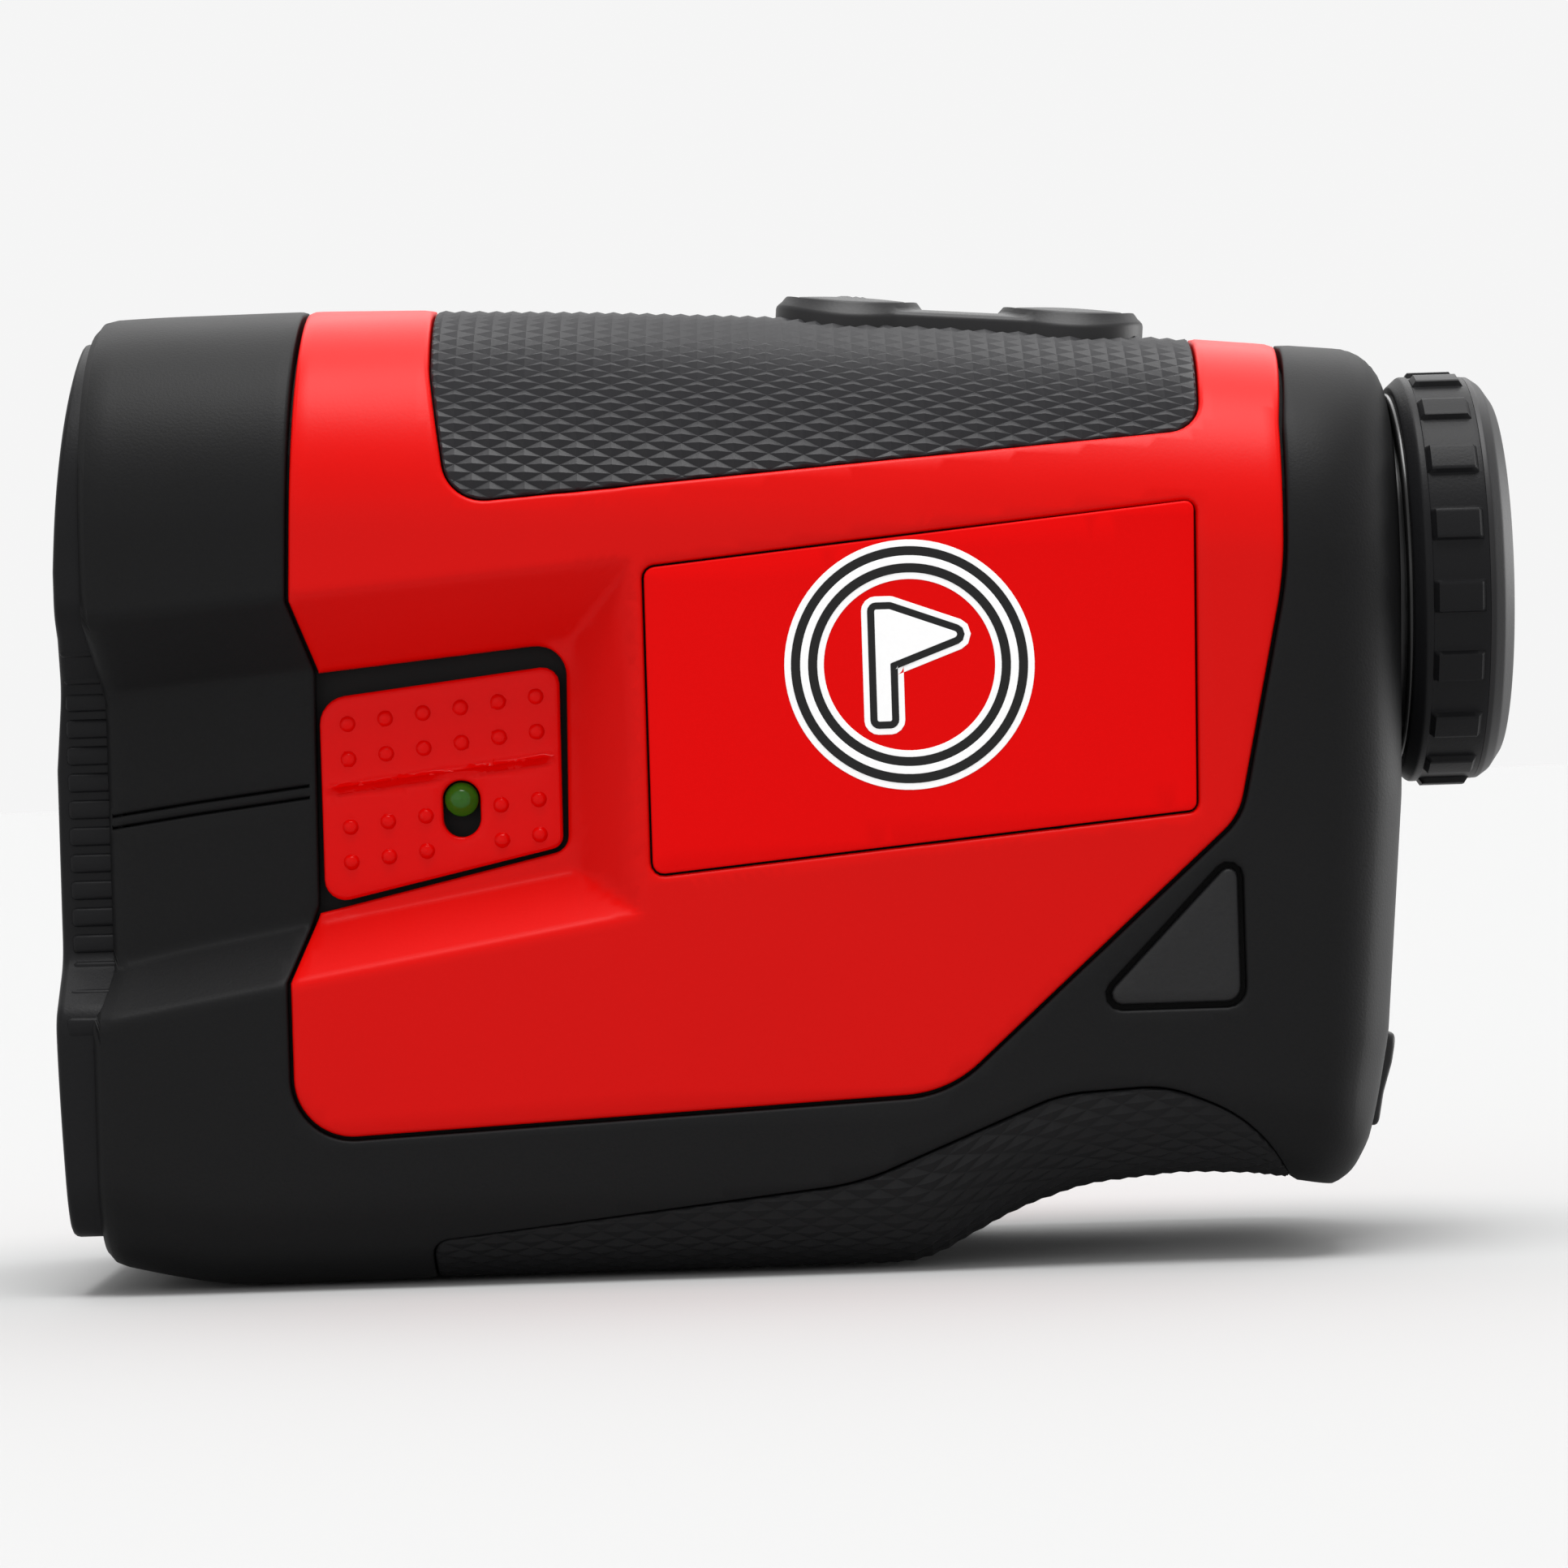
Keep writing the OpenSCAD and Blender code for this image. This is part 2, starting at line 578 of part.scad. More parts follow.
// A ribbon of even thickness through [y, z] points, from x0 to x1
module ribbon(pts, x0, x1) {
    for (i = [0:len(pts) - 2]) translate([x0, pts[i].x, pts[i].y])
        rotate([atan2(pts[i + 1].y - pts[i].y, pts[i + 1].x - pts[i].x), 0, 0])
            translate([0, -0.15, -0.15]) cube([x1 - x0, norm(pts[i + 1] - pts[i]) + 0.3, 0.3]);
}

module button_flex() color("orange") ribbon([[5.9, 64.2], [13.4, 62], [13.4, 44], [11, 39], [11, 36]], 15.4, 21);

module display_flex() color("orange") ribbon([[11.9, 60], [14.2, 58], [14.2, 42], [11, 36], [11, 33]], 23.8, 26);

left_chassis();
right_chassis();
left_armour();
right_armour();
left_cover();
right_cover();
top_grip();
bottom_grip();
front_bezel();
objective_ring();
objective_lens();
objective_tube();
emitter_ring();
emitter_lens();
emitter_tube();
laser_diode();
emitter_board();
prism_frame();
half_penta_prism();
roof_prism();
photodiode();
receiver_board();
display_frame();
display_glass();
eyepiece_sleeve();
eyepiece_seal();
ocular_cell();
field_lens();
eye_lens();
lens_lock_ring();
focus_ring();
cell_clip();
eyecup();
button_pad();
power_button();
mode_button();
button_board();
tact_switches();
slope_slider();
slope_indicator();
slope_board();
slope_switch();
switch_lever();
main_board();
board_chips();
battery_cell();
battery_tray();
usb_connector();
usb_board();
usb_flap();
flap_strap();
left_badge();
right_badge();
badge_emblem();
left_trim();
right_trim();
case_screws();
button_flex();
display_flex();
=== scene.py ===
"""Looks of a handheld laser rangefinder round its CAD frame.
Lengths are in millimetres until a mesh is made, and the object looks towards -X."""

import json
import math

import bmesh
import bpy
import numpy as np
from mathutils import Matrix, Vector
from mathutils.geometry import delaunay_2d_cdt


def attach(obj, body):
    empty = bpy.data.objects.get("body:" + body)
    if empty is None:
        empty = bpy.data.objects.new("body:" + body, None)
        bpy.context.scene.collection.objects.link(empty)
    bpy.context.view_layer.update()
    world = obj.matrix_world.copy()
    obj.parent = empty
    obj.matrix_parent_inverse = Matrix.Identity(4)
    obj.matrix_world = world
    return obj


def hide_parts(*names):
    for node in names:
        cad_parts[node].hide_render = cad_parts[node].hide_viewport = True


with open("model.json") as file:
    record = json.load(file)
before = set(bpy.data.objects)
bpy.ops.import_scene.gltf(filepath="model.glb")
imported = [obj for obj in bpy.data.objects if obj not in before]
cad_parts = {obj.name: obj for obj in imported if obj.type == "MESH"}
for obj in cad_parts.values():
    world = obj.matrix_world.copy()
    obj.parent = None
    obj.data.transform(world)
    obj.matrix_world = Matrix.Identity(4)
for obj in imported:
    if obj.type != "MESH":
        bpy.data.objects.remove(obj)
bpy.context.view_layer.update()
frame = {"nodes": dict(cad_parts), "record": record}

MM = 0.001
QUARTER = math.pi / 2

# ---- The body's shape ----

# Half its width, the channel's depth and where it runs out, the corners' radii, and where the front and rear
# faces, their rounding and the rear face's lean begin.
HALF_W = 20.5
CHANNEL = 5.0
CHANNEL_FULL_X = -17
CHANNEL_END_X = -12
TOP_R = 18.0
BASE_R = 7.0
FRONT_R = 1.3
FRONT_X = -54.0
CUT_TO_X = -46.0
ROUND_FROM = FRONT_X + FRONT_R
REAR_X = 47.6
REAR_LEAN_X = 34.0
REAR_R = 8.0
REAR_TOP_R = 3.5
REAR_LOW_R = 2.0
REAR_FROM = REAR_X - REAR_R
REAR_END = REAR_FROM + REAR_R * QUARTER
SKIN = 1.5
OPTIC_Z = 52.0
EMITTER_Z = 17.5
LINE_FROM = -64
LINE_TO = 90
SAMPLES_PER_MM = 10


def line(points, blur=0.0):
    """A function through the points, with its corners blurred over the given length."""
    x = np.linspace(LINE_FROM, LINE_TO, (LINE_TO - LINE_FROM) * SAMPLES_PER_MM + 1)
    y = np.interp(x, *zip(*points))
    reach = round(blur * SAMPLES_PER_MM / 2)
    window = np.ones(2 * reach + 1) / (2 * reach + 1)
    for _ in range(2):
        y = np.convolve(np.pad(y, reach, mode="edge"), window, "valid")
    return lambda at: np.interp(at, x, y)


top_line = line([(-54, 75.7), (-50, 75.9), (-37, 76), (-27, 75.8), (-14, 75.3), (0, 74.5), (14, 73.4),
                 (28, 72.1), (39, 71), (47.6, 70.2)], 4)
base_line = line([(-54, 2), (-50, 1), (-46, 0.2), (-44, 0), (8, 0), (10, 0.5), (12, 1.7), (16.5, 4),
                  (21.5, 5.6), (29, 6.3), (35, 6), (41, 5.4), (45.5, 4.9), (47.6, 4.7)], 2)
# The channel's four creases, from the lower side up.
edge_lines = (line([(-54, 20.6), (-12, 27.7), (20, 26), (48, 22)]),
              line([(-54, 24.9), (-17, 31.2), (-12, 27.9), (20, 32), (48, 28)]),
              line([(-54, 45.5), (-17, 48.7), (-12, 54.4), (20, 44), (48, 36)]),
              line([(-54, 51.3), (-12, 54.6), (20, 50), (48, 42)]))
channel_line = line([(CHANNEL_FULL_X, 1), (CHANNEL_END_X, 0)], 0.3)
# How far back the rear face lies at each height, and how far the front end is cut back in the channel.
rear_line = line([(4.7, 41.5), (5.9, 42.7), (8.4, 43.7), (16.6, 45.3), (35, 46.9), (52, 47.4), (62, 47.6)],
                 0.6)
cut_line = line([(20.6, 0), (24.9, 1.1), (45.5, 1.1), (51.3, 0)], 0.5)


def sizes(u, inset):
    """The cross-section at u: x, half width, base, top and how far the surface is inset in all.
    u is x along the sides, and runs on round the front and rear corners."""
    lead = np.clip(ROUND_FROM - u, 0, None)
    a = np.minimum(lead / FRONT_R, QUARTER)
    b = np.clip((u - REAR_FROM) / REAR_R, 0, QUARTER)
    x = np.where(u < 0, np.maximum(u, ROUND_FROM) - FRONT_R * np.sin(a),
                 np.minimum(u, REAR_FROM) + REAR_R * np.sin(b))
    inset = inset + FRONT_R * (1 - np.cos(a)) + np.clip(lead - FRONT_R * QUARTER, 0, None)
    drop, rise = (r - np.sqrt(r ** 2 - np.clip(x - REAR_X + r, 0, r) ** 2) for r in (REAR_TOP_R, REAR_LOW_R))
    half = HALF_W - REAR_R * (1 - np.cos(b)) - inset
    return x, half, base_line(x) + rise + inset, top_line(x) - drop - inset, inset


def lengths(u):
    """Lengths of the stretches that half a cross-section is made of, from the base up: the flat base, the
    corner, the lower side, the channel's lower slant, its floor, its upper slant, the upper side, the top."""
    x, half, base, top, _ = sizes(u, 0)
    e = [edge(x) for edge in edge_lines]
    d = CHANNEL * channel_line(x)
    return np.stack([half - BASE_R, QUARTER * BASE_R + 0 * x, e[0] - base - BASE_R, np.hypot(e[1] - e[0], d),
                     e[2] - e[1], np.hypot(e[3] - e[2], d), top - TOP_R - e[3],
                     QUARTER * np.sqrt((half ** 2 + TOP_R ** 2) / 2)], axis=1)


def girth(u):
    """Length of half a cross-section, from the middle of the base to the middle of the top."""
    return lengths(np.atleast_1d(u)).sum(axis=1)


def fractions(u, s):
    """How much of each stretch lies below the girth s, which is measured from the middle of the base."""
    stretch = lengths(u)
    start = np.cumsum(stretch, axis=1) - stretch
    f = (s[:, None] - start) / stretch
    return np.clip(f, [-9, 0, 0, 0, 0, 0, 0, 0], [1, 1, 1, 1, 1, 1, 1, 9])


def place(u, f, inset):
    """Points of the left half at u and at the fractions f of the stretches, inset from the surface."""
    x, half, base, top, inset = sizes(u, inset)
    e = [edge(x) for edge in edge_lines]
    d = CHANNEL * channel_line(x)
    rb, rt = BASE_R - inset, TOP_R - inset
    y = ((half - rb) * f[:, 0] + rb * np.sin(QUARTER * f[:, 1]) + d * (f[:, 5] - f[:, 3])
         - half * (1 - np.cos(QUARTER * f[:, 7])))
    z = (base + rb * (1 - np.cos(QUARTER * f[:, 1])) + (e[0] - base - rb) * f[:, 2] + (e[1] - e[0]) * f[:, 3]
         + (e[2] - e[1]) * f[:, 4] + (e[3] - e[2]) * f[:, 5] + (top - rt - e[3]) * f[:, 6]
         + rt * np.sin(QUARTER * f[:, 7]))
    x = x + cut_line(z) * np.clip((CUT_TO_X - x) / (CUT_TO_X - FRONT_X), 0, 1)
    x = x + (rear_line(z) - REAR_X) * np.clip((x - REAR_LEAN_X) / (REAR_X - REAR_LEAN_X), 0, 1)
    return np.stack([x, -y, z], axis=1)


CREASE_SOFT = 0.4


def body(u, s, inset):
    """Points of the body's left half at (u, s), with every crease softened."""
    total = np.zeros((len(u), 3))
    for ds, a in ((-CREASE_SOFT, 1), (0, 2), (CREASE_SOFT, 1)):
        f = fractions(u, s + ds)
        for du, b in ((-CREASE_SOFT, 1), (0, 2), (CREASE_SOFT, 1)):
            total += a * b / 16 * place(u + du, f, inset)
    return total


def over_top(u, g, inset):
    """The same, by the girth g from the middle of the top, positive on the left."""
    p = body(u, girth(u) - np.abs(g), inset)
    p[:, 1] *= np.where(g < 0, -1, 1)
    return p


def under_base(u, s, inset):
    """The same, by the girth s from the middle of the base, positive on the left."""
    p = body(u, np.abs(s), inset)
    p[:, 1] *= np.where(s < 0, -1, 1)
    return p


# ---- Outlines ----

def unit(v):
    """The vector's direction."""
    return v / np.linalg.norm(v)


def rounded(points, step=0.5):
    """[(x, z, corner radius)] as a closed loop with rounded corners, sampled at about the given step."""
    flat = [np.array(p[:2], float) for p in points]
    path = []
    for i, here in enumerate(flat):
        r = points[i][2]
        if r <= 0:
            path.append(here)
            continue
        a, b = unit(flat[i - 1] - here), unit(flat[(i + 1) % len(flat)] - here)
        half = math.acos(np.clip(a @ b, -1, 1)) / 2
        centre = here + unit(a + b) * r / math.sin(half)
        first, last = (here + v * r / math.tan(half) - centre for v in (a, b))
        sweep = math.pi - 2 * half
        count = max(4, round(r * sweep / step))
        for t in np.arange(count + 1) / count:
            turned = first * math.sin((1 - t) * sweep) + last * math.sin(t * sweep)
            path.append(centre + turned / math.sin(sweep))
    out = []
    for a, b in zip(path, path[1:] + path[:1]):
        count = max(1, math.ceil(np.linalg.norm(b - a) / step))
        out += [a + (b - a) * k / count for k in range(count)]
    return np.array(out)


def circle(radius, x=0.0, z=0.0, count=96):
    """A circle as a closed loop."""
    a = np.linspace(0, 2 * math.pi, count, endpoint=False)
    return np.stack([x + radius * np.cos(a), z + radius * np.sin(a)], axis=1)


def spaced(loop, gap):
    """A closed loop without the points that lie nearer than gap to the one before them."""
    return loop[np.linalg.norm(loop - np.roll(loop, 1, axis=0), axis=1) > gap]


def unwrapped(points):
    """Outline points (x, z) of the side view as (u, s) on the body, past its middle if they lie beyond it."""
    steps = np.linspace(0, 1, 500)
    out = []
    for x, z in points:
        if x > REAR_LEAN_X:
            lean = (rear_line(z) - REAR_X) / (REAR_X - REAR_LEAN_X)
            x = REAR_LEAN_X + (x - REAR_LEAN_X) / (1 + lean)
        if x > REAR_FROM:
            x = REAR_FROM + REAR_R * math.asin(min(1, (x - REAR_FROM) / REAR_R))
        u = np.full(len(steps), x)
        girths = steps * girth(x)[0]
        heights = place(u, fractions(u, girths), 0)[:, 2]
        s = np.interp(z, heights, girths) + max(0, z - heights[-1]) + min(0, z - heights[0])
        out.append((x, s))
    return spaced(np.array(out), 1e-3)


def area(loop):
    """The area inside a closed loop, negative if it runs clockwise."""
    after = np.roll(loop, -1, axis=0)
    return 0.5 * (loop[:, 0] * after[:, 1] - after[:, 0] * loop[:, 1]).sum()


def grown(loop, d):
    """A closed loop moved outwards by d."""
    before, after = np.roll(loop, 1, axis=0), np.roll(loop, -1, axis=0)
    sign = np.sign(area(loop))
    n1, n2 = (np.stack([v[:, 1], -v[:, 0]], axis=1) for v in (loop - before, after - loop))
    n1 /= np.linalg.norm(n1, axis=1)[:, None]
    n2 /= np.linalg.norm(n2, axis=1)[:, None]
    n = n1 + n2
    n /= np.maximum((n * n).sum(axis=1), 0.5)[:, None] / 2
    return loop + n * d * sign


def inside(points, loop):
    """Which points lie inside a closed loop."""
    x, y = points[:, 0][:, None], points[:, 1][:, None]
    a, b = loop, np.roll(loop, -1, axis=0)
    crosses = (a[:, 1] > y) != (b[:, 1] > y)
    rise = np.where(b[:, 1] == a[:, 1], 1, b[:, 1] - a[:, 1])
    return (crosses & (x < a[:, 0] + (y - a[:, 1]) * (b[:, 0] - a[:, 0]) / rise)).sum(axis=1) % 2 == 1


def distance(points, lines):
    """Distance from each point to the nearest of the polylines."""
    best = np.full(len(points), 1e9)
    for a, b in ((p[:-1], p[1:]) for p in lines):
        for i in range(0, len(a), 64):
            p, q = a[i:i + 64], b[i:i + 64]
            d = q - p
            t = ((points[:, None] - p) * d).sum(axis=2) / np.maximum((d * d).sum(axis=1), 1e-12)
            near = p + np.clip(t, 0, 1)[:, :, None] * d
            best = np.minimum(best, np.sqrt(((points[:, None] - near) ** 2).sum(axis=2)).min(axis=1))
    return best


def closed(loop):
    """A loop as a polyline that ends where it starts."""
    return np.vstack([loop, loop[:1]])


def plane_points(loop, step):
    """A square grid of points over a loop's box."""
    lo, hi = loop.min(axis=0), loop.max(axis=0)
    a, b = np.meshgrid(np.arange(lo[0], hi[0], step), np.arange(lo[1], hi[1], step))
    return np.stack([a.ravel(), b.ravel()], axis=1)


# ---- Meshes ----

# Where a rounded edge has mesh lines, as fractions of its radius, and how clear of them other points stay.
RIM_LINES = (0, 0.12, 0.4, 1)
RIM_CLEAR = 0.12
FAR_FROM_EDGES = 9.0


def mesh_piece(name, verts, faces, body_name, material, nodes=(), slot=None, smooth=True, crease=40):
    """A piece of the object from vertices in millimetres, riding on a CAD body and standing for CAD nodes."""
    data = bpy.data.meshes.new(name)
    data.from_pydata((np.asarray(verts) * MM).tolist(), [], [tuple(map(int, f)) for f in faces])
    data.validate()
    data.polygons.foreach_set("use_smooth", [smooth] * len(data.polygons))
    if smooth:
        data.set_sharp_from_angle(angle=math.radians(crease))
    data.materials.append(material)
    piece = bpy.data.objects.new(name, data)
    bpy.context.scene.collection.objects.link(piece)
    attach(piece, body_name)
    if nodes:
        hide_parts(*nodes)


def mirrored(verts, faces):
    """The same mesh on the body's other side."""
    return np.asarray(verts) * [1, -1, 1], [f[::-1] for f in faces]


def triangulated(keep, cuts, points, edge_r, constraints):
    """Flat points and triangles over the region inside keep and outside cuts, with lines along its borders."""
    coords, links = [], []

    def add(path, loop):
        first = len(coords)
        coords.extend(path)
        n = len(path)
        links.extend((first + i, first + (i + 1) % n) for i in range(n if loop else n - 1))

    def in_region(at):
        return np.all([inside(at, keep)] + [~inside(at, cut) for cut in cuts], axis=0)

    for r in RIM_LINES if edge_r > 0 else (0,):
        add(grown(keep, -r * edge_r), True)
        for cut in cuts:
            add(grown(cut, r * edge_r), True)
    for path in constraints:
        add(path, False)
    points = np.asarray(points, float).reshape(-1, 2)
    if len(points):
        borders = [closed(keep)] + [closed(c) for c in cuts]
        coords.extend(points[in_region(points) & (distance(points, borders) > edge_r + RIM_CLEAR)])
    flat, _, faces, *_ = delaunay_2d_cdt([Vector(c) for c in coords], links, [], 0, 1e-5, False)
    flat = np.array([tuple(v) for v in flat])
    faces = np.array([f for f in faces if len(f) == 3])
    faces = faces[in_region(flat[faces].mean(axis=1))]
    used, faces = np.unique(faces, return_inverse=True)
    flat, faces = flat[used], faces.reshape(-1, 3)
    return flat, faces if area(flat[faces[0]]) > 0 else faces[:, ::-1]


def sheet(surface, keep, cuts, edges, points, depth, edge_r, height=None, constraints=()):
    """A solid sheet over the flat region inside keep and outside cuts. surface(u, v, inset) places its points,
    edges are the borders that are rounded, and height(u, v, d) raises the face at a distance d from them."""
    flat, faces = triangulated(keep, cuts, points, edge_r, constraints)
    n = len(flat)
    d = distance(flat, edges) if len(edges) else np.full(n, FAR_FROM_EDGES)
    into = np.clip(edge_r - d, 0, edge_r)
    inset = edge_r - np.sqrt(np.maximum(edge_r ** 2 - into ** 2, 0))
    if height:
        inset = inset - height(flat[:, 0], flat[:, 1], d)
    front, back = (surface(flat[:, 0], flat[:, 1], level) for level in (inset, np.full(n, depth)))
    pairs = np.vstack([faces[:, [0, 1]], faces[:, [1, 2]], faces[:, [2, 0]]])
    keys = {tuple(p) for p in pairs.tolist()}
    skirt = [(b, a, a + n, b + n) for a, b in keys if (b, a) not in keys]
    return np.vstack([front, back]), faces.tolist() + (faces[:, ::-1] + n).tolist() + skirt


LATHE_STEP = 0.35


def lathe(profile, z=OPTIC_Z, segments=144, swell=None):
    """A closed profile of (x, radius, corner radius) turned about the X axis at height z."""
    path = rounded(profile, LATHE_STEP)
    if area(path) < 0:
        path = path[::-1]
    n = len(path)
    angles = np.linspace(0, 2 * math.pi, segments, endpoint=False)
    verts = []
    for a in angles:
        r = path[:, 1] + (swell(path[:, 0], path[:, 1], a) if swell else 0)
        verts.append(np.stack([path[:, 0], -r * math.cos(a), z + r * math.sin(a)], axis=1))
    faces = []
    for j in range(segments):
        k = (j + 1) % segments
        faces += [(j * n + i, j * n + (i + 1) % n, k * n + (i + 1) % n, k * n + i) for i in range(n)]
    return np.vstack(verts), faces


def spun_y(profile, x, z, segments=48):
    """A closed profile of (distance outwards from y = 0, radius, corner radius) turned about the Y axis."""
    verts, faces = lathe(profile, 0, segments)
    return np.stack([x + verts[:, 1], -verts[:, 0], z + verts[:, 2]], axis=1), faces


def box_mesh(lo, hi):
    """A box with sharp edges between two corners."""
    verts = [(x, y, z) for x in (lo[0], hi[0]) for y in (lo[1], hi[1]) for z in (lo[2], hi[2])]
    faces = [(0, 1, 3, 2), (4, 6, 7, 5), (0, 4, 5, 1), (2, 3, 7, 6), (0, 2, 6, 4), (1, 5, 7, 3)]
    return np.array(verts, float), faces


def soft_box(centre, size, r):
    """A box with rounded edges."""
    bm = bmesh.new()
    bmesh.ops.create_cube(bm, size=1)
    for v in bm.verts:
        v.co = Vector(v.co[k] * size[k] for k in range(3))
    bmesh.ops.bevel(bm, geom=list(bm.edges), offset=min(r, min(size) * 0.49), segments=3, profile=0.5,
                    affect="EDGES", clamp_overlap=True)
    verts = np.array([tuple(v.co) for v in bm.verts]) + np.array(centre)
    faces = [tuple(v.index for v in f.verts) for f in bm.faces]
    bm.free()
    return verts, faces


def join(*parts):
    """Several meshes as one."""
    verts, faces, n = [], [], 0
    for v, f in parts:
        verts.append(v)
        faces += [tuple(i + n for i in face) for face in f]
        n += len(v)
    return np.vstack(verts), faces


# ---- Materials ----

def nodes_of(name):
    """A new material with its node tree and its shader."""
    material = bpy.data.materials.new(name)
    material.use_nodes = True
    tree = material.node_tree
    return material, tree, tree.nodes["Principled BSDF"]


BROAD_SIZE = 18
MIN_ROUGHNESS = 0.02


def noise(tree, coords, size, detail):
    """The value of a noise whose features are size millimetres across."""
    node = tree.nodes.new("ShaderNodeTexNoise")
    node.inputs["Scale"].default_value = 1 / MM / size
    node.inputs["Detail"].default_value = detail
    tree.links.new(coords, node.inputs["Vector"])
    return node.outputs["Fac"]


def scaled(tree, value, factor, offset=0.0):
    """The value times factor plus offset, as a node's output."""
    node = tree.nodes.new("ShaderNodeMath")
    node.operation = "MULTIPLY_ADD"
    node.inputs[1].default_value = factor
    node.inputs[2].default_value = offset
    tree.links.new(value, node.inputs[0])
    return node.outputs[0]


def finish_material(name, colour, rough, speckle=0.15, grain=0.0, grain_size=0.25, metallic=0.0, spread=0.05,
                    gloss=0.12):
    """A plastic, rubber or metal: its colour varies by speckle, its roughness by spread, and fine bumps of
    height grain stand on it, grain_size across, both in millimetres."""
    material, tree, shader = nodes_of(name)
    new, link = tree.nodes.new, tree.links.new
    coords = new("ShaderNodeTexCoord").outputs["Object"]
    fine, broad = noise(tree, coords, grain_size, 3), noise(tree, coords, BROAD_SIZE, 4)
    mixed = new("ShaderNodeMath")
    mixed.operation = "ADD"
    mixed.use_clamp = True
    link(scaled(tree, fine, 0.6, -0.1), mixed.inputs[0])
    link(scaled(tree, broad, 0.5), mixed.inputs[1])
    tint = new("ShaderNodeMix")
    tint.data_type = "RGBA"
    tint.inputs["A"].default_value = (*[c * (1 - speckle) for c in colour], 1)
    tint.inputs["B"].default_value = (*[min(1, c * (1 + speckle)) for c in colour], 1)
    link(mixed.outputs[0], tint.inputs["Factor"])
    link(tint.outputs["Result"], shader.inputs["Base Color"])
    roughness = new("ShaderNodeMapRange")
    roughness.inputs["To Min"].default_value = max(MIN_ROUGHNESS, rough - spread)
    roughness.inputs["To Max"].default_value = min(1, rough + spread)
    link(broad, roughness.inputs["Value"])
    link(roughness.outputs["Result"], shader.inputs["Roughness"])
    bump = new("ShaderNodeBump")
    bump.inputs["Strength"].default_value = 1
    bump.inputs["Distance"].default_value = grain * MM
    link(fine, bump.inputs["Height"])
    link(bump.outputs["Normal"], shader.inputs["Normal"])
    shader.inputs["Metallic"].default_value = metallic
    shader.inputs["Specular IOR Level"].default_value = gloss
    return material


RUBBER_COAT = finish_material("rubber_coat", (0.0062, 0.0062, 0.0065), 0.5, 0.3, 0.016, 0.22, gloss=0.09)
GRIP = finish_material("grip_rubber", (0.012, 0.0117, 0.0135), 0.42, 0.25, 0.008, 0.3, gloss=0.22)
LOWER_GRIP = finish_material("lower_grip_rubber", (0.0065, 0.0065, 0.007), 0.5, 0.2, 0.008, 0.3, gloss=0.12)
RED = finish_material("red_plastic", (0.53, 0.0012, 0.0003), 0.36, 0.05, 0.006, 0.25, gloss=0.085)
BADGE_RED = finish_material("badge_red", (0.61, 0.001, 0.001), 0.4, 0.04, 0.006, 0.3, gloss=0.04)
SLIDER_RED = finish_material("slider_red", (0.56, 0.0008, 0.0005), 0.16, 0.05, 0.003, 0.3, gloss=0.08)
MOULDED = finish_material("moulded_black", (0.0062, 0.0062, 0.0068), 0.42, 0.2, 0.014, 0.25, gloss=0.095)
KEY_RUBBER = finish_material("key_rubber", (0.012, 0.0118, 0.0125), 0.45, 0.15, 0.008, 0.25, gloss=0.2)
SATIN_BLACK = finish_material("satin_black", (0.008, 0.008, 0.009), 0.3, 0.2, 0.004, 0.3, gloss=0.4)
GLOSS_BLACK = finish_material("gloss_black", (0.004, 0.004, 0.004), 0.25, 0.2, 0.001, 0.4, gloss=0.35)
TRIM_BLACK = finish_material("trim_black", (0.0085, 0.0085, 0.009), 0.45, 0.3, 0.03, 0.32, gloss=0.22)
WHITE_INK = finish_material("white_ink", (0.82, 0.82, 0.82), 0.4, 0.03, 0.004, 0.3)
BLACK_INK = finish_material("black_ink", (0.012, 0.012, 0.012), 0.4, 0.1, 0.004, 0.3)
GREEN_PIPE = finish_material("green_light_pipe", (0.018, 0.085, 0.004), 0.14, 0.1, 0.001, 0.4, gloss=0.22)
# The lenses are opaque. Their near-black base colour is painted shade: it stands in for the black tube and its
# unlit inside, seen through the glass. The specular tint colours only their real reflections.
LENS_GLASS_PAINTED_DARK = finish_material("coated_glass", (0.002, 0.003, 0.009), 0.03, 0.2, 0.0, 0.4, gloss=0.25)
COATING_TINT = LENS_GLASS_PAINTED_DARK.node_tree.nodes["Principled BSDF"].inputs["Specular Tint"]
COATING_TINT.default_value = (0.35, 0.55, 1.0, 1)
SHELL_PLASTIC = finish_material("chassis_plastic", (0.006, 0.006, 0.006), 0.6, 0.2, 0.008, 0.3)
CIRCUIT = finish_material("circuit_board", (0.01, 0.1, 0.03), 0.4, 0.2, 0.01, 0.5)
STEEL = finish_material("steel", (0.55, 0.55, 0.56), 0.3, 0.1, 0.003, 0.2, metallic=1.0)
BRASS = finish_material("diode_metal", (0.6, 0.42, 0.2), 0.3, 0.1, 0.003, 0.2, metallic=1.0)
CELL_WRAP = finish_material("battery_wrap", (0.02, 0.08, 0.3), 0.3, 0.1, 0.003, 0.4)
FLEX = finish_material("ribbon_cable", (0.5, 0.2, 0.03), 0.35, 0.1, 0.004, 0.4)

SLOT_MATERIALS = {"chassis": SHELL_PLASTIC, "armour": RUBBER_COAT, "grip": GRIP, "cover": RED,
                  "badge": BADGE_RED, "emblem": WHITE_INK, "trim": TRIM_BLACK, "bezel": SATIN_BLACK,
                  "key": KEY_RUBBER, "coated_glass": LENS_GLASS_PAINTED_DARK, "indicator": GREEN_PIPE, "board": CIRCUIT,
                  "steel": STEEL, "diode": BRASS, "cell": CELL_WRAP, "flex": FLEX}

# ---- Outlines of the side view, as (x, z, corner radius) ----

COVER_GAP = 0.3
TRIM_GAP = 0.35
FINE_GAP = 0.12
COVER_EDGE = 0.4
ARMOUR_EDGE = 0.3
GROOVE_LIFTS = (-0.45, 0.45)

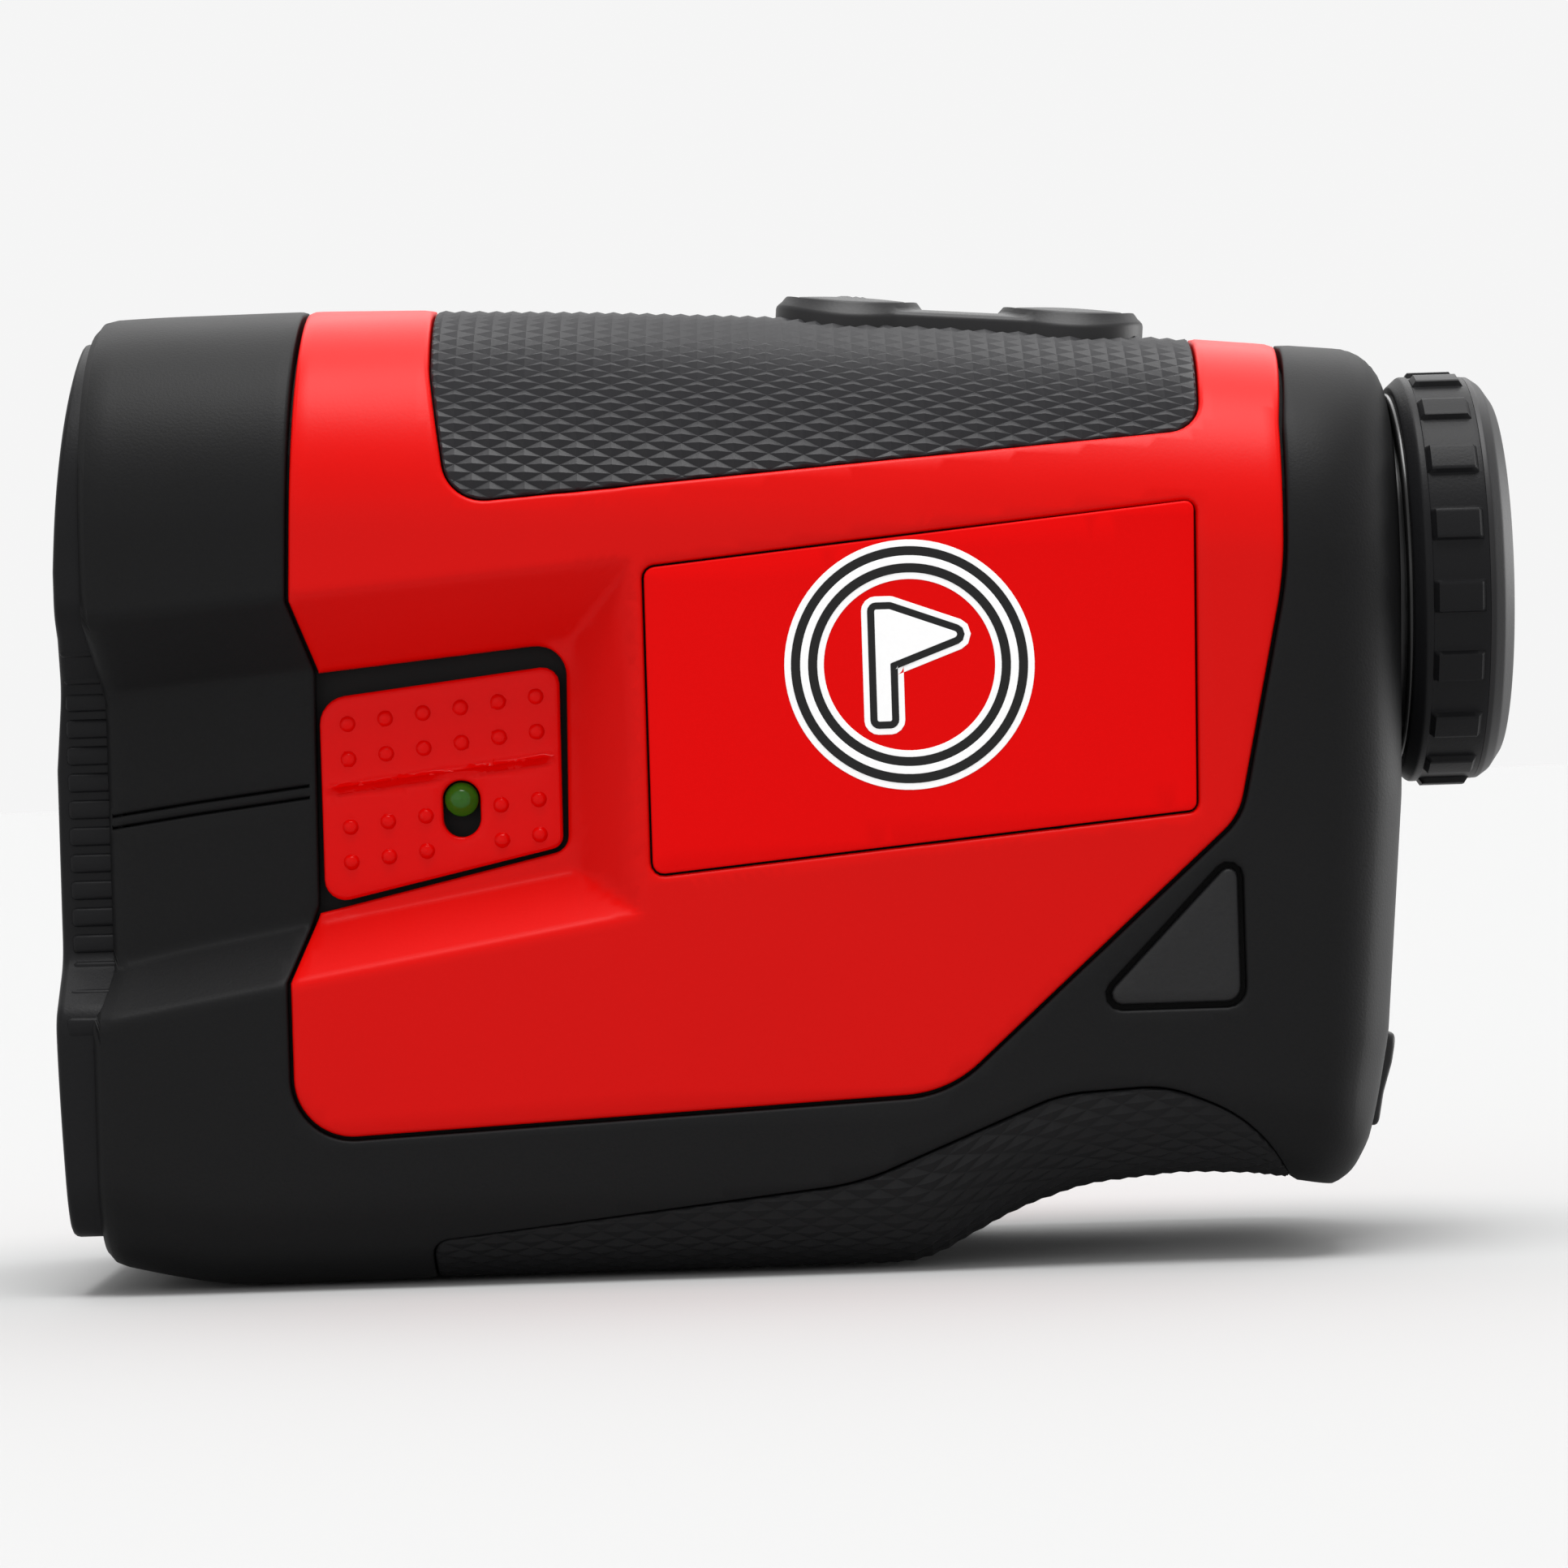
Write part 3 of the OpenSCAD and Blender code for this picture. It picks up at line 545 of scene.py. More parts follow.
COVER = [(-37.1, 84, 0), (-37.2, 75, 0), (-38, 52.3, 0), (-36.3, 47, 0), (-36.5, 29, 0), (-38.7, 23.3, 0),
         (-38.7, 11.3, 4.5), (11, 13.5, 9), (33.7, 33.8, 5), (37.6, 52, 30), (38, 64, 12), (39.2, 72, 0),
         (39.2, 84, 0)]
NOTCH = [(-44, 46.2, 0), (-17.2, 48.7, 2.3), (-17.5, 32.75, 1.3), (-44, 26.8, 0)]
SLIDER = [(-36.3, 44.85, 2.2), (-17.8, 46.95, 1.3), (-17.9, 33, 1), (-36.3, 29, 1.6)]
BADGE = [(-11, 54, 0.9), (31, 57.9, 0.7), (30.5, 34.3, 0.7), (-11, 30.6, 0.9)]
TRIM = [(22.2, 19.6, 0.9), (33.5, 19.6, 1.2), (33.5, 31.1, 0.8)]
GROOVE = [(-53.6, 35.9, -0.07), (-37.3, 37.8, -0.07), (-37.3, 37.8, 0.07), (-53.6, 35.9, 0.07)]
TOP_GRIP = [(-27.4, 84, 0), (-27, 70, 10), (-25.6, 59.4, 3.2), (31.7, 63.6, 2.6), (32.3, 71, 8),
            (33.6, 84, 0)]
BOTTOM_GRIP = [(-28.5, -4, 0), (-28.5, 3.1, 1.2), (4, 6.7, 20), (19.5, 13, 12), (27.5, 13.4, 9),
               (34, 10.6, 12), (37.6, 5, 0), (37.6, -4, 0)]

cover_loop = unwrapped(rounded(COVER))
notch_loop = unwrapped(rounded(NOTCH))
badge_loop = unwrapped(rounded(BADGE))
trim_loop = unwrapped(rounded(TRIM))
top_loop = unwrapped(rounded(TOP_GRIP))
base_loop = unwrapped(rounded(BOTTOM_GRIP))
groove_loops = [unwrapped(rounded([(x, z + lift + side, 0) for x, z, side in GROOVE]))
                for lift in GROOVE_LIFTS]

# ---- Points over the body ----

GRID_STEP = 0.9
GRID_FROM = -56
# How many lines run along each of the eight stretches of half a cross-section, and which of them start at a
# crease of the channel.
STRETCH_LINES = (12, 12, 14, 6, 14, 6, 5, 28)
CREASES = (3, 4, 5, 6)
BESIDE_CREASE = (-0.8, -0.4, 0.4, 0.8)
END_POINTS = 120
SEAM_FADE = 0.7
SEAM_KEEP = 0.2


def body_grid(lo, hi):
    """Points over the body between two values of u, in lines along the creases."""
    u = np.arange(lo, hi, GRID_STEP)
    ends = [x + d for x in (CHANNEL_FULL_X, CHANNEL_END_X) for d in (0, *BESIDE_CREASE)]
    u = np.unique(np.concatenate([u, ends]))
    u = u[(u > lo) & (u < hi)]
    out = []
    knots = np.cumsum(np.hstack([np.zeros((len(u), 1)), lengths(u)]), axis=1)
    for k, count in enumerate(STRETCH_LINES):
        for t in np.linspace(0, 1, count, endpoint=False):
            out.append(np.stack([u, knots[:, k] + t * (knots[:, k + 1] - knots[:, k])], axis=1))
    for k in CREASES:
        for d in BESIDE_CREASE:
            out.append(np.stack([u, knots[:, k] + d], axis=1))
    return np.vstack(out)


BODY_GRID = body_grid(GRID_FROM, REAR_END)


def seam_fade(s, top):
    """How much of the edge rounding is kept near the middle of the base and of the top."""
    return np.clip(np.minimum(np.abs(s), np.abs(top - s)) / SEAM_FADE, SEAM_KEEP, 1)


def whole_half(lo, hi):
    """The loop round the left half between two values of u."""
    u = np.append(np.arange(lo, hi, GRID_STEP), hi)
    top = np.stack([u, girth(u)], axis=1)[::-1]
    rise = np.linspace(0, 1, END_POINTS)[1:-1]
    at_hi = np.stack([np.full(len(rise), hi), rise * girth(hi)[0]], axis=1)
    at_lo = np.stack([np.full(len(rise), lo), rise[::-1] * girth(lo)[0]], axis=1)
    return np.vstack([np.stack([u, 0 * u], axis=1), at_hi, top, at_lo])


def seams(lo, hi):
    """The lines along the middle of the base and of the top, where the two halves meet."""
    u = np.arange(lo - 1, hi + 1, GRID_STEP)
    return [np.stack([u, 0 * u], axis=1), np.stack([u, girth(u)], axis=1)]


FRONT_END = ROUND_FROM - FRONT_R * QUARTER - 0.5


def body_half(keep, cuts, edges, edge_r):
    """A skin of the left half whose rounding fades out along the seams."""
    def surface(u, s, inset):
        rounding = np.minimum(inset, edge_r) * seam_fade(s, girth(u))
        return body(u, s, np.where(inset < SKIN, rounding, inset))

    return sheet(surface, keep, cuts, edges, BODY_GRID, SKIN, edge_r)


# ---- Skins ----

EYE_HOLE_R = 14.6
POCKET = [(-6.5, 7.5, 0.6), (6.5, 7.5, 0.6), (6.5, 16.8, 0.9), (-6.5, 16.8, 0.9)]
REAR_EDGE = 0.4
REAR_STEP = 1.5


def rear_cap():
    """The rear face of the left armour, round the eyepiece and the port flap's pocket."""
    side = body(np.full(160, REAR_END), np.linspace(0, 1, 160) * girth(REAR_END)[0], 0)[:, 1:]
    middle = np.linspace(side[-1, 1], side[0, 1], 62)[1:-1]
    keep = np.vstack([side, np.stack([0 * middle, middle], axis=1)])
    hole = circle(EYE_HOLE_R, 0, OPTIC_Z, 120)
    pocket = rounded(POCKET)
    points = plane_points(np.array([(-12, 5), (0, 70)]), REAR_STEP)

    def surface(y, z, inset):
        return np.stack([rear_line(z) - inset, y, z], axis=1)

    return sheet(surface, keep, [hole, pocket], [closed(hole), closed(pocket)], points, SKIN, REAR_EDGE)


def add_armour():
    """The black rubber armour round the covers and the lower grip, cut through by two grooves at the front."""
    keep = whole_half(FRONT_END, REAR_END)
    cuts = [grown(cover_loop, COVER_GAP), grown(base_loop, FINE_GAP), grown(trim_loop, TRIM_GAP)]
    cuts += groove_loops
    edges = [closed(c) for c in cuts] + seams(FRONT_END, REAR_END)
    lateral = body_half(keep, cuts, edges, ARMOUR_EDGE)
    verts, faces = join(lateral, rear_cap())
    mesh_piece("left_armour_skin", verts, faces, "housing", RUBBER_COAT, ["left_armour"], "armour")
    mesh_piece("right_armour_skin", *mirrored(verts, faces), "housing", RUBBER_COAT, ["right_armour"],
               "armour")


def add_covers():
    """The red covers, cut out for the top grip and the badges. The left one is notched for the slider."""
    loop = np.stack([cover_loop[:, 0], np.minimum(cover_loop[:, 1], girth(cover_loop[:, 0]))], axis=1)
    loop = spaced(loop, 0.05)
    holes = [grown(top_loop, FINE_GAP), grown(badge_loop, FINE_GAP)]
    for side, cuts in (("left", [*holes, notch_loop]), ("right", holes)):
        edges = [closed(cover_loop)] + [closed(c) for c in cuts] + seams(-41, 42)
        verts, faces = body_half(loop, cuts, edges, COVER_EDGE)
        if side == "right":
            verts, faces = mirrored(verts, faces)
        mesh_piece(f"{side}_cover_skin", verts, faces, "housing", RED, [f"{side}_cover"], "cover")


# Length and width of the diamonds' cells along the body and across it.
GRIP_A = 1.33
GRIP_B = 0.72
GRIP_EDGE = 0.2
GRIP_FADE = 0.25


def lattice(lo, hi, reach):
    """Lines of the diamond grid: rows, columns and the diamonds' borders."""
    cols, rows = int((hi - lo) / GRIP_A) + 2, int(reach / GRIP_B) + 1

    def knots(places):
        return np.array([(lo + i * GRIP_A, j * GRIP_B) for i, j in places])

    lines = [knots((i, j) for i in range(cols + 1)) for j in range(-rows, rows + 1)]
    lines += [knots((i, j) for j in range(-rows, rows + 1)) for i in range(cols + 1)]
    for i in range(cols):
        for j in range(-rows, rows):
            falls = (i + j + 1) % 2
            lines.append(knots([(i, j + falls), (i + 1, j + 1 - falls)]))
    return lines


def diamonds(u, v, lo, peak):
    """Height of the diamond pattern, which peaks where column plus row is even."""
    a, b = (u - lo) / GRIP_A, v / GRIP_B
    i, j = np.floor(a), np.floor(b)
    p, q = a - i, b - j
    even = (i + j) % 2 == 0
    return peak * np.where(even, np.abs(1 - p - q), np.abs(p - q))


def grip_loop(loop, at_top):
    """The closed loop of a grip that runs across the middle, from its outline on the left half."""
    own = loop.copy()
    own[:, 1] = girth(own[:, 0]) - own[:, 1] if at_top else own[:, 1]
    own = own[own[:, 1] > 0.3]
    turn = np.argmax(np.linalg.norm(np.roll(own, -1, axis=0) - own, axis=1))
    own = np.roll(own, -(turn + 1), axis=0)
    return np.vstack([own, (own * [1, -1])[::-1]])


def add_grip(name, loop, at_top, base, peak, material):
    """A grip over the top or under the base. Its diamonds rise by peak from a ground sunk by base."""
    own = grip_loop(loop, at_top)
    lo = own[:, 0].min() - 0.6
    reach = np.abs(own[:, 1]).max() + 1
    surface = over_top if at_top else under_base

    def height(u, v, d):
        return diamonds(u, v, lo, peak) * np.clip(d / GRIP_FADE, 0.15, 1) - base

    lines = lattice(lo, own[:, 0].max(), reach)
    verts, faces = sheet(surface, own, [], [closed(own)], [], SKIN, GRIP_EDGE, height, lines)
    if not at_top:
        faces = [f[::-1] for f in faces]
    mesh_piece(f"{name}_skin", verts, faces, "housing", material, [name], "grip", smooth=False)


def side_surface(y):
    """Places (x, z) points on the left of the body, at the given y and facing outwards."""
    return lambda x, z, inset: np.stack([x, y + inset, z], axis=1)


INLAY_DEPTH = 1.0


def add_inlays(part, shape, outline, gap, sunk, step, edge_r, material):
    """A flat plate let into both sides, with a gap round it and its face sunk below the side."""
    loop = grown(rounded(outline), -gap)
    verts, faces = sheet(side_surface(-HALF_W + sunk), loop, [], [closed(loop)], plane_points(loop, step),
                         INLAY_DEPTH, edge_r)
    mesh_piece(f"left_{part}_{shape}", verts, faces, "housing", material, [f"left_{part}"], part)
    mesh_piece(f"right_{part}_{shape}", *mirrored(verts, faces), "housing", material, [f"right_{part}"], part)


EMBLEM_X = 9.0
EMBLEM_Z = 46.0
FLAG = [(-2.6, -4.3, 0.2), (-1.4, -4.3, 0.2), (-1.4, 0.1, 0.1), (4.3, 2.2, 0.3), (-1.4, 4.3, 0.2),
        (-2.6, 4.3, 0.2)]
INK_Y = -HALF_W - 0.01
INK_DEPTH = 0.1
INK_EDGE = 0.03
# Ink, how far out it is laid, the ring's two radii and how far the pennant is grown, from the bottom layer up.
INK_LAYERS = ((WHITE_INK, 0.0, 9.5, 6.5, 0.95), (BLACK_INK, 0.03, 9.0, 7.0, 0.5),
              (WHITE_INK, 0.06, 8.3, 7.7, -0.05))


def add_emblem():
    """A generic mark: a white ring with black borders round a pennant on its pin."""
    flag = rounded([(x + EMBLEM_X, z + EMBLEM_Z, r) for x, z, r in FLAG], 0.3)
    for n, (ink, out, outer, inner, grow) in enumerate(INK_LAYERS):
        surface = side_surface(INK_Y - out)
        rim, hole = (circle(r, EMBLEM_X, EMBLEM_Z) for r in (outer, inner))
        shape = grown(flag, grow)
        ring = sheet(surface, rim, [hole], [closed(rim), closed(hole)], [], INK_DEPTH, INK_EDGE)
        pennant = sheet(surface, shape, [], [closed(shape)], [], INK_DEPTH, INK_EDGE)
        mesh_piece(f"emblem_print_{n + 1}", *join(ring, pennant), "housing", ink,
                   ["badge_emblem"] if n == 0 else [], "emblem", smooth=False)


# ---- Slope slider ----

PLATE_Y = -HALF_W + CHANNEL - 0.28
PLATE_DEPTH = 1.3
PLATE_EDGE = 0.35
SLOT_X = -25.6
SLOT_Z = 36.85
SLOT_R = 1.45
TRAVEL = 1.45
SLANT = 0.115
DOT_FIRST_X = -34.15
DOT_PITCH = 2.9
DOT_COLUMNS = 6
DOT_ROWS = (42.9, 40.2, 35.0, 32.3)
DOT_R = 0.58
DOT_HEIGHT = 0.4
DOT_RINGS = (0.12, 0.25, 0.38, 0.5, 0.62)
RIDGE_FROM = (-36, 37.95)
RIDGE_LINES = (-0.75, -0.5, -0.25, -0.1, 0, 0.1, 0.25, 0.5)
STEM = ((-31.2, -14.6, 36.9), (-28.8, -10.9, 38.7))


def dot_places():
    """Grip dots: two full rows above the ridge, and two rows below it that leave room for the slot."""
    dots = []
    for row, z in enumerate(DOT_ROWS):
        for col in range(DOT_COLUMNS):
            at_slot = row > 1 and col == 3
            if not at_slot:
                x = DOT_FIRST_X + DOT_PITCH * col
                dots.append((x, z + SLANT * (x - DOT_FIRST_X)))
    return dots


def ridge(x):
    """Height of the ridge that runs along the plate."""
    return RIDGE_FROM[1] + SLANT * (x - RIDGE_FROM[0])


def hump(off, width):
    """1 on a line, falling straight to 0 at width away from it."""
    return np.clip(1 - np.abs(off) / width, 0, 1)


def slot_loop():
    """The slot that the light pipe comes out through. Its straight sides are as long as the plate's travel."""
    a = np.linspace(0, math.pi, 17)
    return np.vstack([np.stack([SLOT_X + SLOT_R * np.cos(a), SLOT_Z + SLOT_R * np.sin(a)], axis=1),
                      np.stack([SLOT_X - SLOT_R * np.cos(a), SLOT_Z - TRAVEL - SLOT_R * np.sin(a)], axis=1)])


def add_slider():
    """The slope slider: a plate with dots, a ridge with a groove below it, a slot, and a stem behind."""
    loop = rounded(SLIDER)
    slot = slot_loop()
    dots = dot_places()
    along = np.arange(-36, -17, 0.5)
    points = [plane_points(loop, 0.6)]
    points += [circle(r, x, z, 14) for x, z in dots for r in DOT_RINGS]
    points += [np.stack([along, ridge(along) + d], axis=1) for d in RIDGE_LINES]

    def height(x, z, d):
        near = np.min([np.hypot(x - dx, z - dz) for dx, dz in dots], axis=0)
        dot = DOT_HEIGHT * np.sqrt(np.clip(1 - (near / DOT_R) ** 2, 0, 1))
        rise = z - ridge(x)
        fold = 0.3 * hump(rise, 0.28) - 0.15 * hump(rise + 0.5, 0.25)
        return dot + fold * np.clip(d / 1.2, 0, 1)

    verts, faces = sheet(side_surface(PLATE_Y), loop, [slot], [closed(loop), closed(slot)], np.vstack(points),
                         PLATE_DEPTH, PLATE_EDGE, height)
    stem = box_mesh(*STEM)
    mesh_piece("slope_slider_plate", *join((verts, faces), stem), "slope_slide_body", SLIDER_RED,
               ["slope_slider"], "cover")


def add_indicator():
    """The green light pipe that shows in the slider's slot."""
    profile = [(11.8, 0.02, 0), (11.8, 1.05, 0.1), (13.95, 1.05, 0), (13.95, 1.32, 0.08), (15.3, 1.32, 0.5),
               (16.05, 0.62, 0.8), (16.15, 0.02, 0)]
    mesh_piece("slope_light_pipe", *spun_y(profile, SLOT_X, SLOT_Z), "housing", GREEN_PIPE, ["slope_indicator"],
               "indicator", crease=60)


# ---- Front ----

BEZEL_FRONT = -56.0
BEZEL_INSET = 1.2
BEZEL_DEPTH = 4.2
BEZEL_EDGE = 0.55
BEZEL_SOFT = 1.3
BEZEL_FOOT_Z = 4.0
BEZEL_TOP_Z = 73.5
OBJECTIVE_HOLE_R = 14.5
EMITTER_HOLE_R = 9.5
GRILLE_PITCH = 2.07
GRILLE_RIB = (3.9, 0.9, 1.5)
GRILLE_X = -54


def softened(loop, reach, step=0.3):
    """A closed loop with evenly spaced points, whose corners are smoothed over reach on each side of them."""
    path = closed(loop)
    along = np.concatenate([[0], np.cumsum(np.linalg.norm(np.diff(path, axis=0), axis=1))])
    at = np.linspace(0, along[-1], round(along[-1] / step), endpoint=False)
    even = np.stack([np.interp(at, along, path[:, k]) for k in (0, 1)], axis=1)
    turns = range(-round(reach / step), round(reach / step) + 1)
    return np.mean([np.roll(even, k, axis=0) for k in turns], axis=0)


def bezel_loop(inset):
    """The bezel's outline as (y, z): the body's cross-section, cut off level above and below."""
    u = np.full(240, -50.0)
    half = place(u, fractions(u, np.linspace(0, 1, 240) * girth(-50)[0]), inset)[:, 1:]
    half = half[(half[:, 1] > BEZEL_FOOT_Z) & (half[:, 1] < BEZEL_TOP_Z)]
    return softened(np.vstack([half, (half * [-1, 1])[::-1]]), BEZEL_SOFT)


def bezel_sweep(z):
    """How far the bezel's face leans back towards its top and its foot. Below the objective it stands out."""
    top = 1.4 * np.clip((z - 55) / 18.5, 0, 1) ** 1.15
    foot = 0.6 * np.clip((20 - z) / 16, 0, 1) ** 1.5
    return top + foot - 0.8 * np.clip((50 - z) / 10, 0, 1)


def add_bezel():
    """The front frame round both optics, with a row of short ribs down each side of its waist."""
    loop = spaced(bezel_loop(BEZEL_INSET), 0.05)
    holes = [circle(OBJECTIVE_HOLE_R, 0, OPTIC_Z, 144), circle(EMITTER_HOLE_R, 0, EMITTER_Z, 120)]

    def surface(y, z, inset):
        return np.stack([BEZEL_FRONT + inset + bezel_sweep(z) * (1 - inset / BEZEL_DEPTH), y, z], axis=1)

    face = sheet(surface, loop, holes, [closed(loop)] + [closed(h) for h in holes], plane_points(loop, 1.6),
                 BEZEL_DEPTH, BEZEL_EDGE)
    side_line = loop[loop[:, 0] < -0.01]
    side_line = side_line[np.argsort(side_line[:, 1])]
    ribs = []
    half_rib = GRILLE_RIB[2] / 2
    for z in np.arange(20.4, 50.5, GRILLE_PITCH):
        y = np.interp([z - half_rib, z + half_rib], side_line[:, 1], side_line[:, 0]).max()
        for side in (-1, 1):
            ribs.append(soft_box((GRILLE_X, side * (y + 0.1), z), GRILLE_RIB, 0.38))
    mesh_piece("front_bezel_frame", *join(face, *ribs), "housing", MOULDED, ["front_bezel"], "bezel")


def lens_steps():
    """Fractions of a lens's radius, from next to its axis to its edge."""
    return np.linspace(0.002, 1, 14)


def add_front_optic(name, z, ring_r, opening_r, lens_r, bulge):
    """A stepped ring in the bezel, and the lens behind it, whose middle bulges forwards."""
    ring = [(-52.9, ring_r, 0.1), (-55.0, ring_r, 0.2), (-55.0, ring_r - 0.8, 0.2), (-54.6, ring_r - 1.1, 0.1),
            (-53.6, opening_r + 0.35, 0.1), (-53.2, opening_r + 0.35, 0.05), (-53.2, opening_r, 0.05),
            (-52.9, opening_r, 0.05)]
    mesh_piece(f"{name}_front_ring", *lathe(ring, z), "housing", SATIN_BLACK, [f"{name}_ring"], "bezel")
    front = [(-52.6 + bulge * t * t, lens_r * t, 0) for t in lens_steps()]
    back = [(-50.2, lens_r, 0), (-50.2, 0.02, 0)]
    mesh_piece(f"{name}_front_lens", *lathe(front + back, z), "housing", LENS_GLASS_PAINTED_DARK, [f"{name}_lens"],
               "coated_glass")


# ---- Eyepiece ----

RIBS = 18
RIB_HEIGHT = 0.48
RIB_PHASE = 13
RIB_HALF_WIDTH = 1.32
RIB_HALF_LENGTH = 1.95
RIB_SLOPE = 0.22
RIB_X = 51.55
RIB_R = 16.4
RING_FACE_R = 15.9


def smooth_step(t):
    """Rises from 0 at t = 0 to 1 at t = 1, level at both ends."""
    t = np.clip(t, 0, 1)
    return t * t * (3 - 2 * t)


def rib_swell(x, r, angle):
    """Raises the grip ribs of the focus ring, which stand on its outer face."""
    turn = (math.degrees(angle) - RIB_PHASE) % (360 / RIBS)
    off = min(turn, 360 / RIBS - turn) * math.pi / 180 * RIB_R
    across = smooth_step((RIB_HALF_WIDTH - off) / RIB_SLOPE)
    lengthwise = smooth_step((RIB_HALF_LENGTH - np.abs(x - RIB_X)) / RIB_SLOPE)
    return np.where(r > RING_FACE_R, RIB_HEIGHT * across * lengthwise, 0)


def add_eyepiece():
    """The ribbed focus ring, the eyecup's rim and its seal, and the eye lens in its lock ring."""
    ring = [(48.1, 12.2, 0), (48.1, 15.3, 0.3), (49.0, 16.1, 0.4), (49.5, 16.1, 0.05), (49.55, 15.98, 0.03),
            (53.9, 15.98, 0.03), (53.9, 12.2, 0.1)]
    mesh_piece("focus_ring_grip", *lathe(ring, segments=720, swell=rib_swell), "focus_body", MOULDED,
               ["focus_ring"], "bezel", crease=50)
    cup = [(53.92, 12.4, 0), (53.92, 15.96, 0.02), (54.3, 15.96, 0.3), (55.1, 15.4, 0.9), (56, 14.1, 0.6),
           (56, 13.2, 0.4), (54.6, 12.4, 0.3)]
    mesh_piece("eyecup_rim", *lathe(cup), "focus_body", KEY_RUBBER, ["eyecup"], "grip")
    seal = [(47.65, 13.3, 0.05), (47.65, 14.85, 0.3), (48.35, 14.85, 0.3), (48.35, 13.3, 0.05)]
    mesh_piece("eyepiece_seal_ring", *lathe(seal), "housing", GLOSS_BLACK, ["eyepiece_seal"], "grip")
    lens = [(47.9, 0.02, 0), (48.9, 10.1, 0)]
    lens += [(51.6 - 0.5 * t * t, 10.1 * t, 0) for t in lens_steps()[::-1]]
    mesh_piece("eye_lens_glass", *lathe(lens), "eyepiece_cell", LENS_GLASS_PAINTED_DARK, ["eye_lens"], "coated_glass")
    lock = [(51.3, 10.1, 0), (52.8, 10.1, 0.1), (52.8, 9.6, 0.1), (51.6, 8.6, 0.1), (51.3, 8.6, 0)]
    mesh_piece("eye_lens_lock_ring", *lathe(lock), "eyepiece_cell", SATIN_BLACK, ["lens_lock_ring"], "bezel")


# ---- Buttons ----

TOP_AT = (14.3, 73.4)
TOP_TILT = math.radians(4.6)
KEY_PITCH = 17.3
PAD_R = 6.0
PAD_WAIST = 4.0
PAD_H = 1.0
PAD_DEPTH = 2.9
PAD_EDGE = 0.45
COLLAR_H = 0.58
COLLAR_R = 5.75
COLLAR_SLOPE = 0.6
KEY_HOLE_R = 4.78
KEY_R = 4.52
KEY_H = 1.74
KEY_DEPTH = 4.2
KEY_EDGE = 0.3
KEY_DISH = 0.2
MARK_R = 1.1
MARK_H = 0.12
FLANGE_R = 5.2
FLANGE_H = -2.25
FLANGE_DEPTH = 0.75
KEY_SIDES = {"power": -1, "mode": 1}


def top_frame(a, b, h):
    """A point on the pad: a along it, b across it to the left, h above it."""
    c, s = math.cos(TOP_TILT), math.sin(TOP_TILT)
    return np.stack([TOP_AT[0] + a * c + h * s, -b + 0 * h, TOP_AT[1] - a * s + h * c], axis=1)


def crown(b):
    """How far the pad's crowned top falls away at b across it, a little less than the body's does."""
    return 0.9 * (TOP_R - np.sqrt(TOP_R ** 2 - np.minimum(np.abs(b), 15) ** 2))


def dog_bone():
    """The pad's outline: two discs joined by a waist with soft corners."""
    reach = math.pi - math.asin(PAD_WAIST / PAD_R) - 0.25
    points = []
    for side in (1, -1):
        for t in np.linspace(-reach, reach, 60):
            points.append((side * (KEY_PITCH / 2 + PAD_R * math.cos(t)), side * PAD_R * math.sin(t), 0))
    return rounded(points, 0.5)


def key_distance(a, b):
    """Distance from the middle of the nearer key."""
    return np.hypot(np.abs(a) - KEY_PITCH / 2, b)


def pad_surface(level):
    """A surface on the pad at the given height, crowned across it."""
    return lambda a, b, inset: top_frame(a, b, level - crown(b) - inset)


def add_button_pad():
    """The rubber pad that both keys come up through, with a raised collar round each."""
    loop = dog_bone()
    middles = [side * KEY_PITCH / 2 for side in (-1, 1)]
    holes = [circle(KEY_HOLE_R, a, 0, 90) for a in middles]
    rings = [circle(r, a, 0, 90) for r in (5.0, 5.2, 5.35, 5.5, 5.65, 5.8) for a in middles]

    def collar(a, b, d):
        return COLLAR_H * smooth_step((COLLAR_R - key_distance(a, b)) / COLLAR_SLOPE)

    verts, faces = sheet(pad_surface(PAD_H), loop, holes, [closed(loop)] + [closed(h) for h in holes],
                         np.vstack([plane_points(loop, 0.7)] + rings), PAD_DEPTH, PAD_EDGE, collar)
    mesh_piece("button_pad_rubber", verts, faces, "housing", KEY_RUBBER, ["button_pad"], "grip")


def add_key(name, side):
    """A dished key cap with its flange under the pad. The power key has a small raised ring."""
    middle = side * KEY_PITCH / 2
    rim = circle(KEY_R, middle, 0, 90)
    points = np.vstack([circle(r, middle, 0, max(8, round(10 * r))) for r in np.arange(0.15, 4.2, 0.3)])

    def dish(a, b, d):
        r = key_distance(a, b)
        mark = MARK_H * hump(r - MARK_R, 0.25) if name == "power" else 0
        return mark - KEY_DISH * (r / 4.6) ** 2

    def flange_surface(a, b, inset):
        return top_frame(a, b, FLANGE_H - inset)

    cap = sheet(pad_surface(KEY_H), rim, [], [closed(rim)], points, KEY_DEPTH, KEY_EDGE, dish)
    flange = sheet(flange_surface, circle(FLANGE_R, middle), [], [], [], FLANGE_DEPTH, 0)
    mesh_piece(f"{name}_button_cap", *join(cap, flange), f"{name}_key", KEY_RUBBER, [f"{name}_button"],
               "key")


# ---- Charging port's flap ----

FLAP_AT = (44.63, 12.7)
FLAP_TILT = math.radians(10.4)
FLAP = [(-6.2, -3.7, 0.9), (6.2, -3.7, 0.9), (6.2, 3.8, 1.2), (-6.2, 3.8, 1.2)]
FLAP_DEPTH = 1.4


def rear_frame(verts):
    """Points given in the flap's own leaning frame, out, across and up, as points of the object."""
    out, across, up = np.asarray(verts, float).T
    c, s = math.cos(FLAP_TILT), math.sin(FLAP_TILT)
    return np.stack([FLAP_AT[0] + out * c + up * s, across, FLAP_AT[1] - out * s + up * c], axis=1)


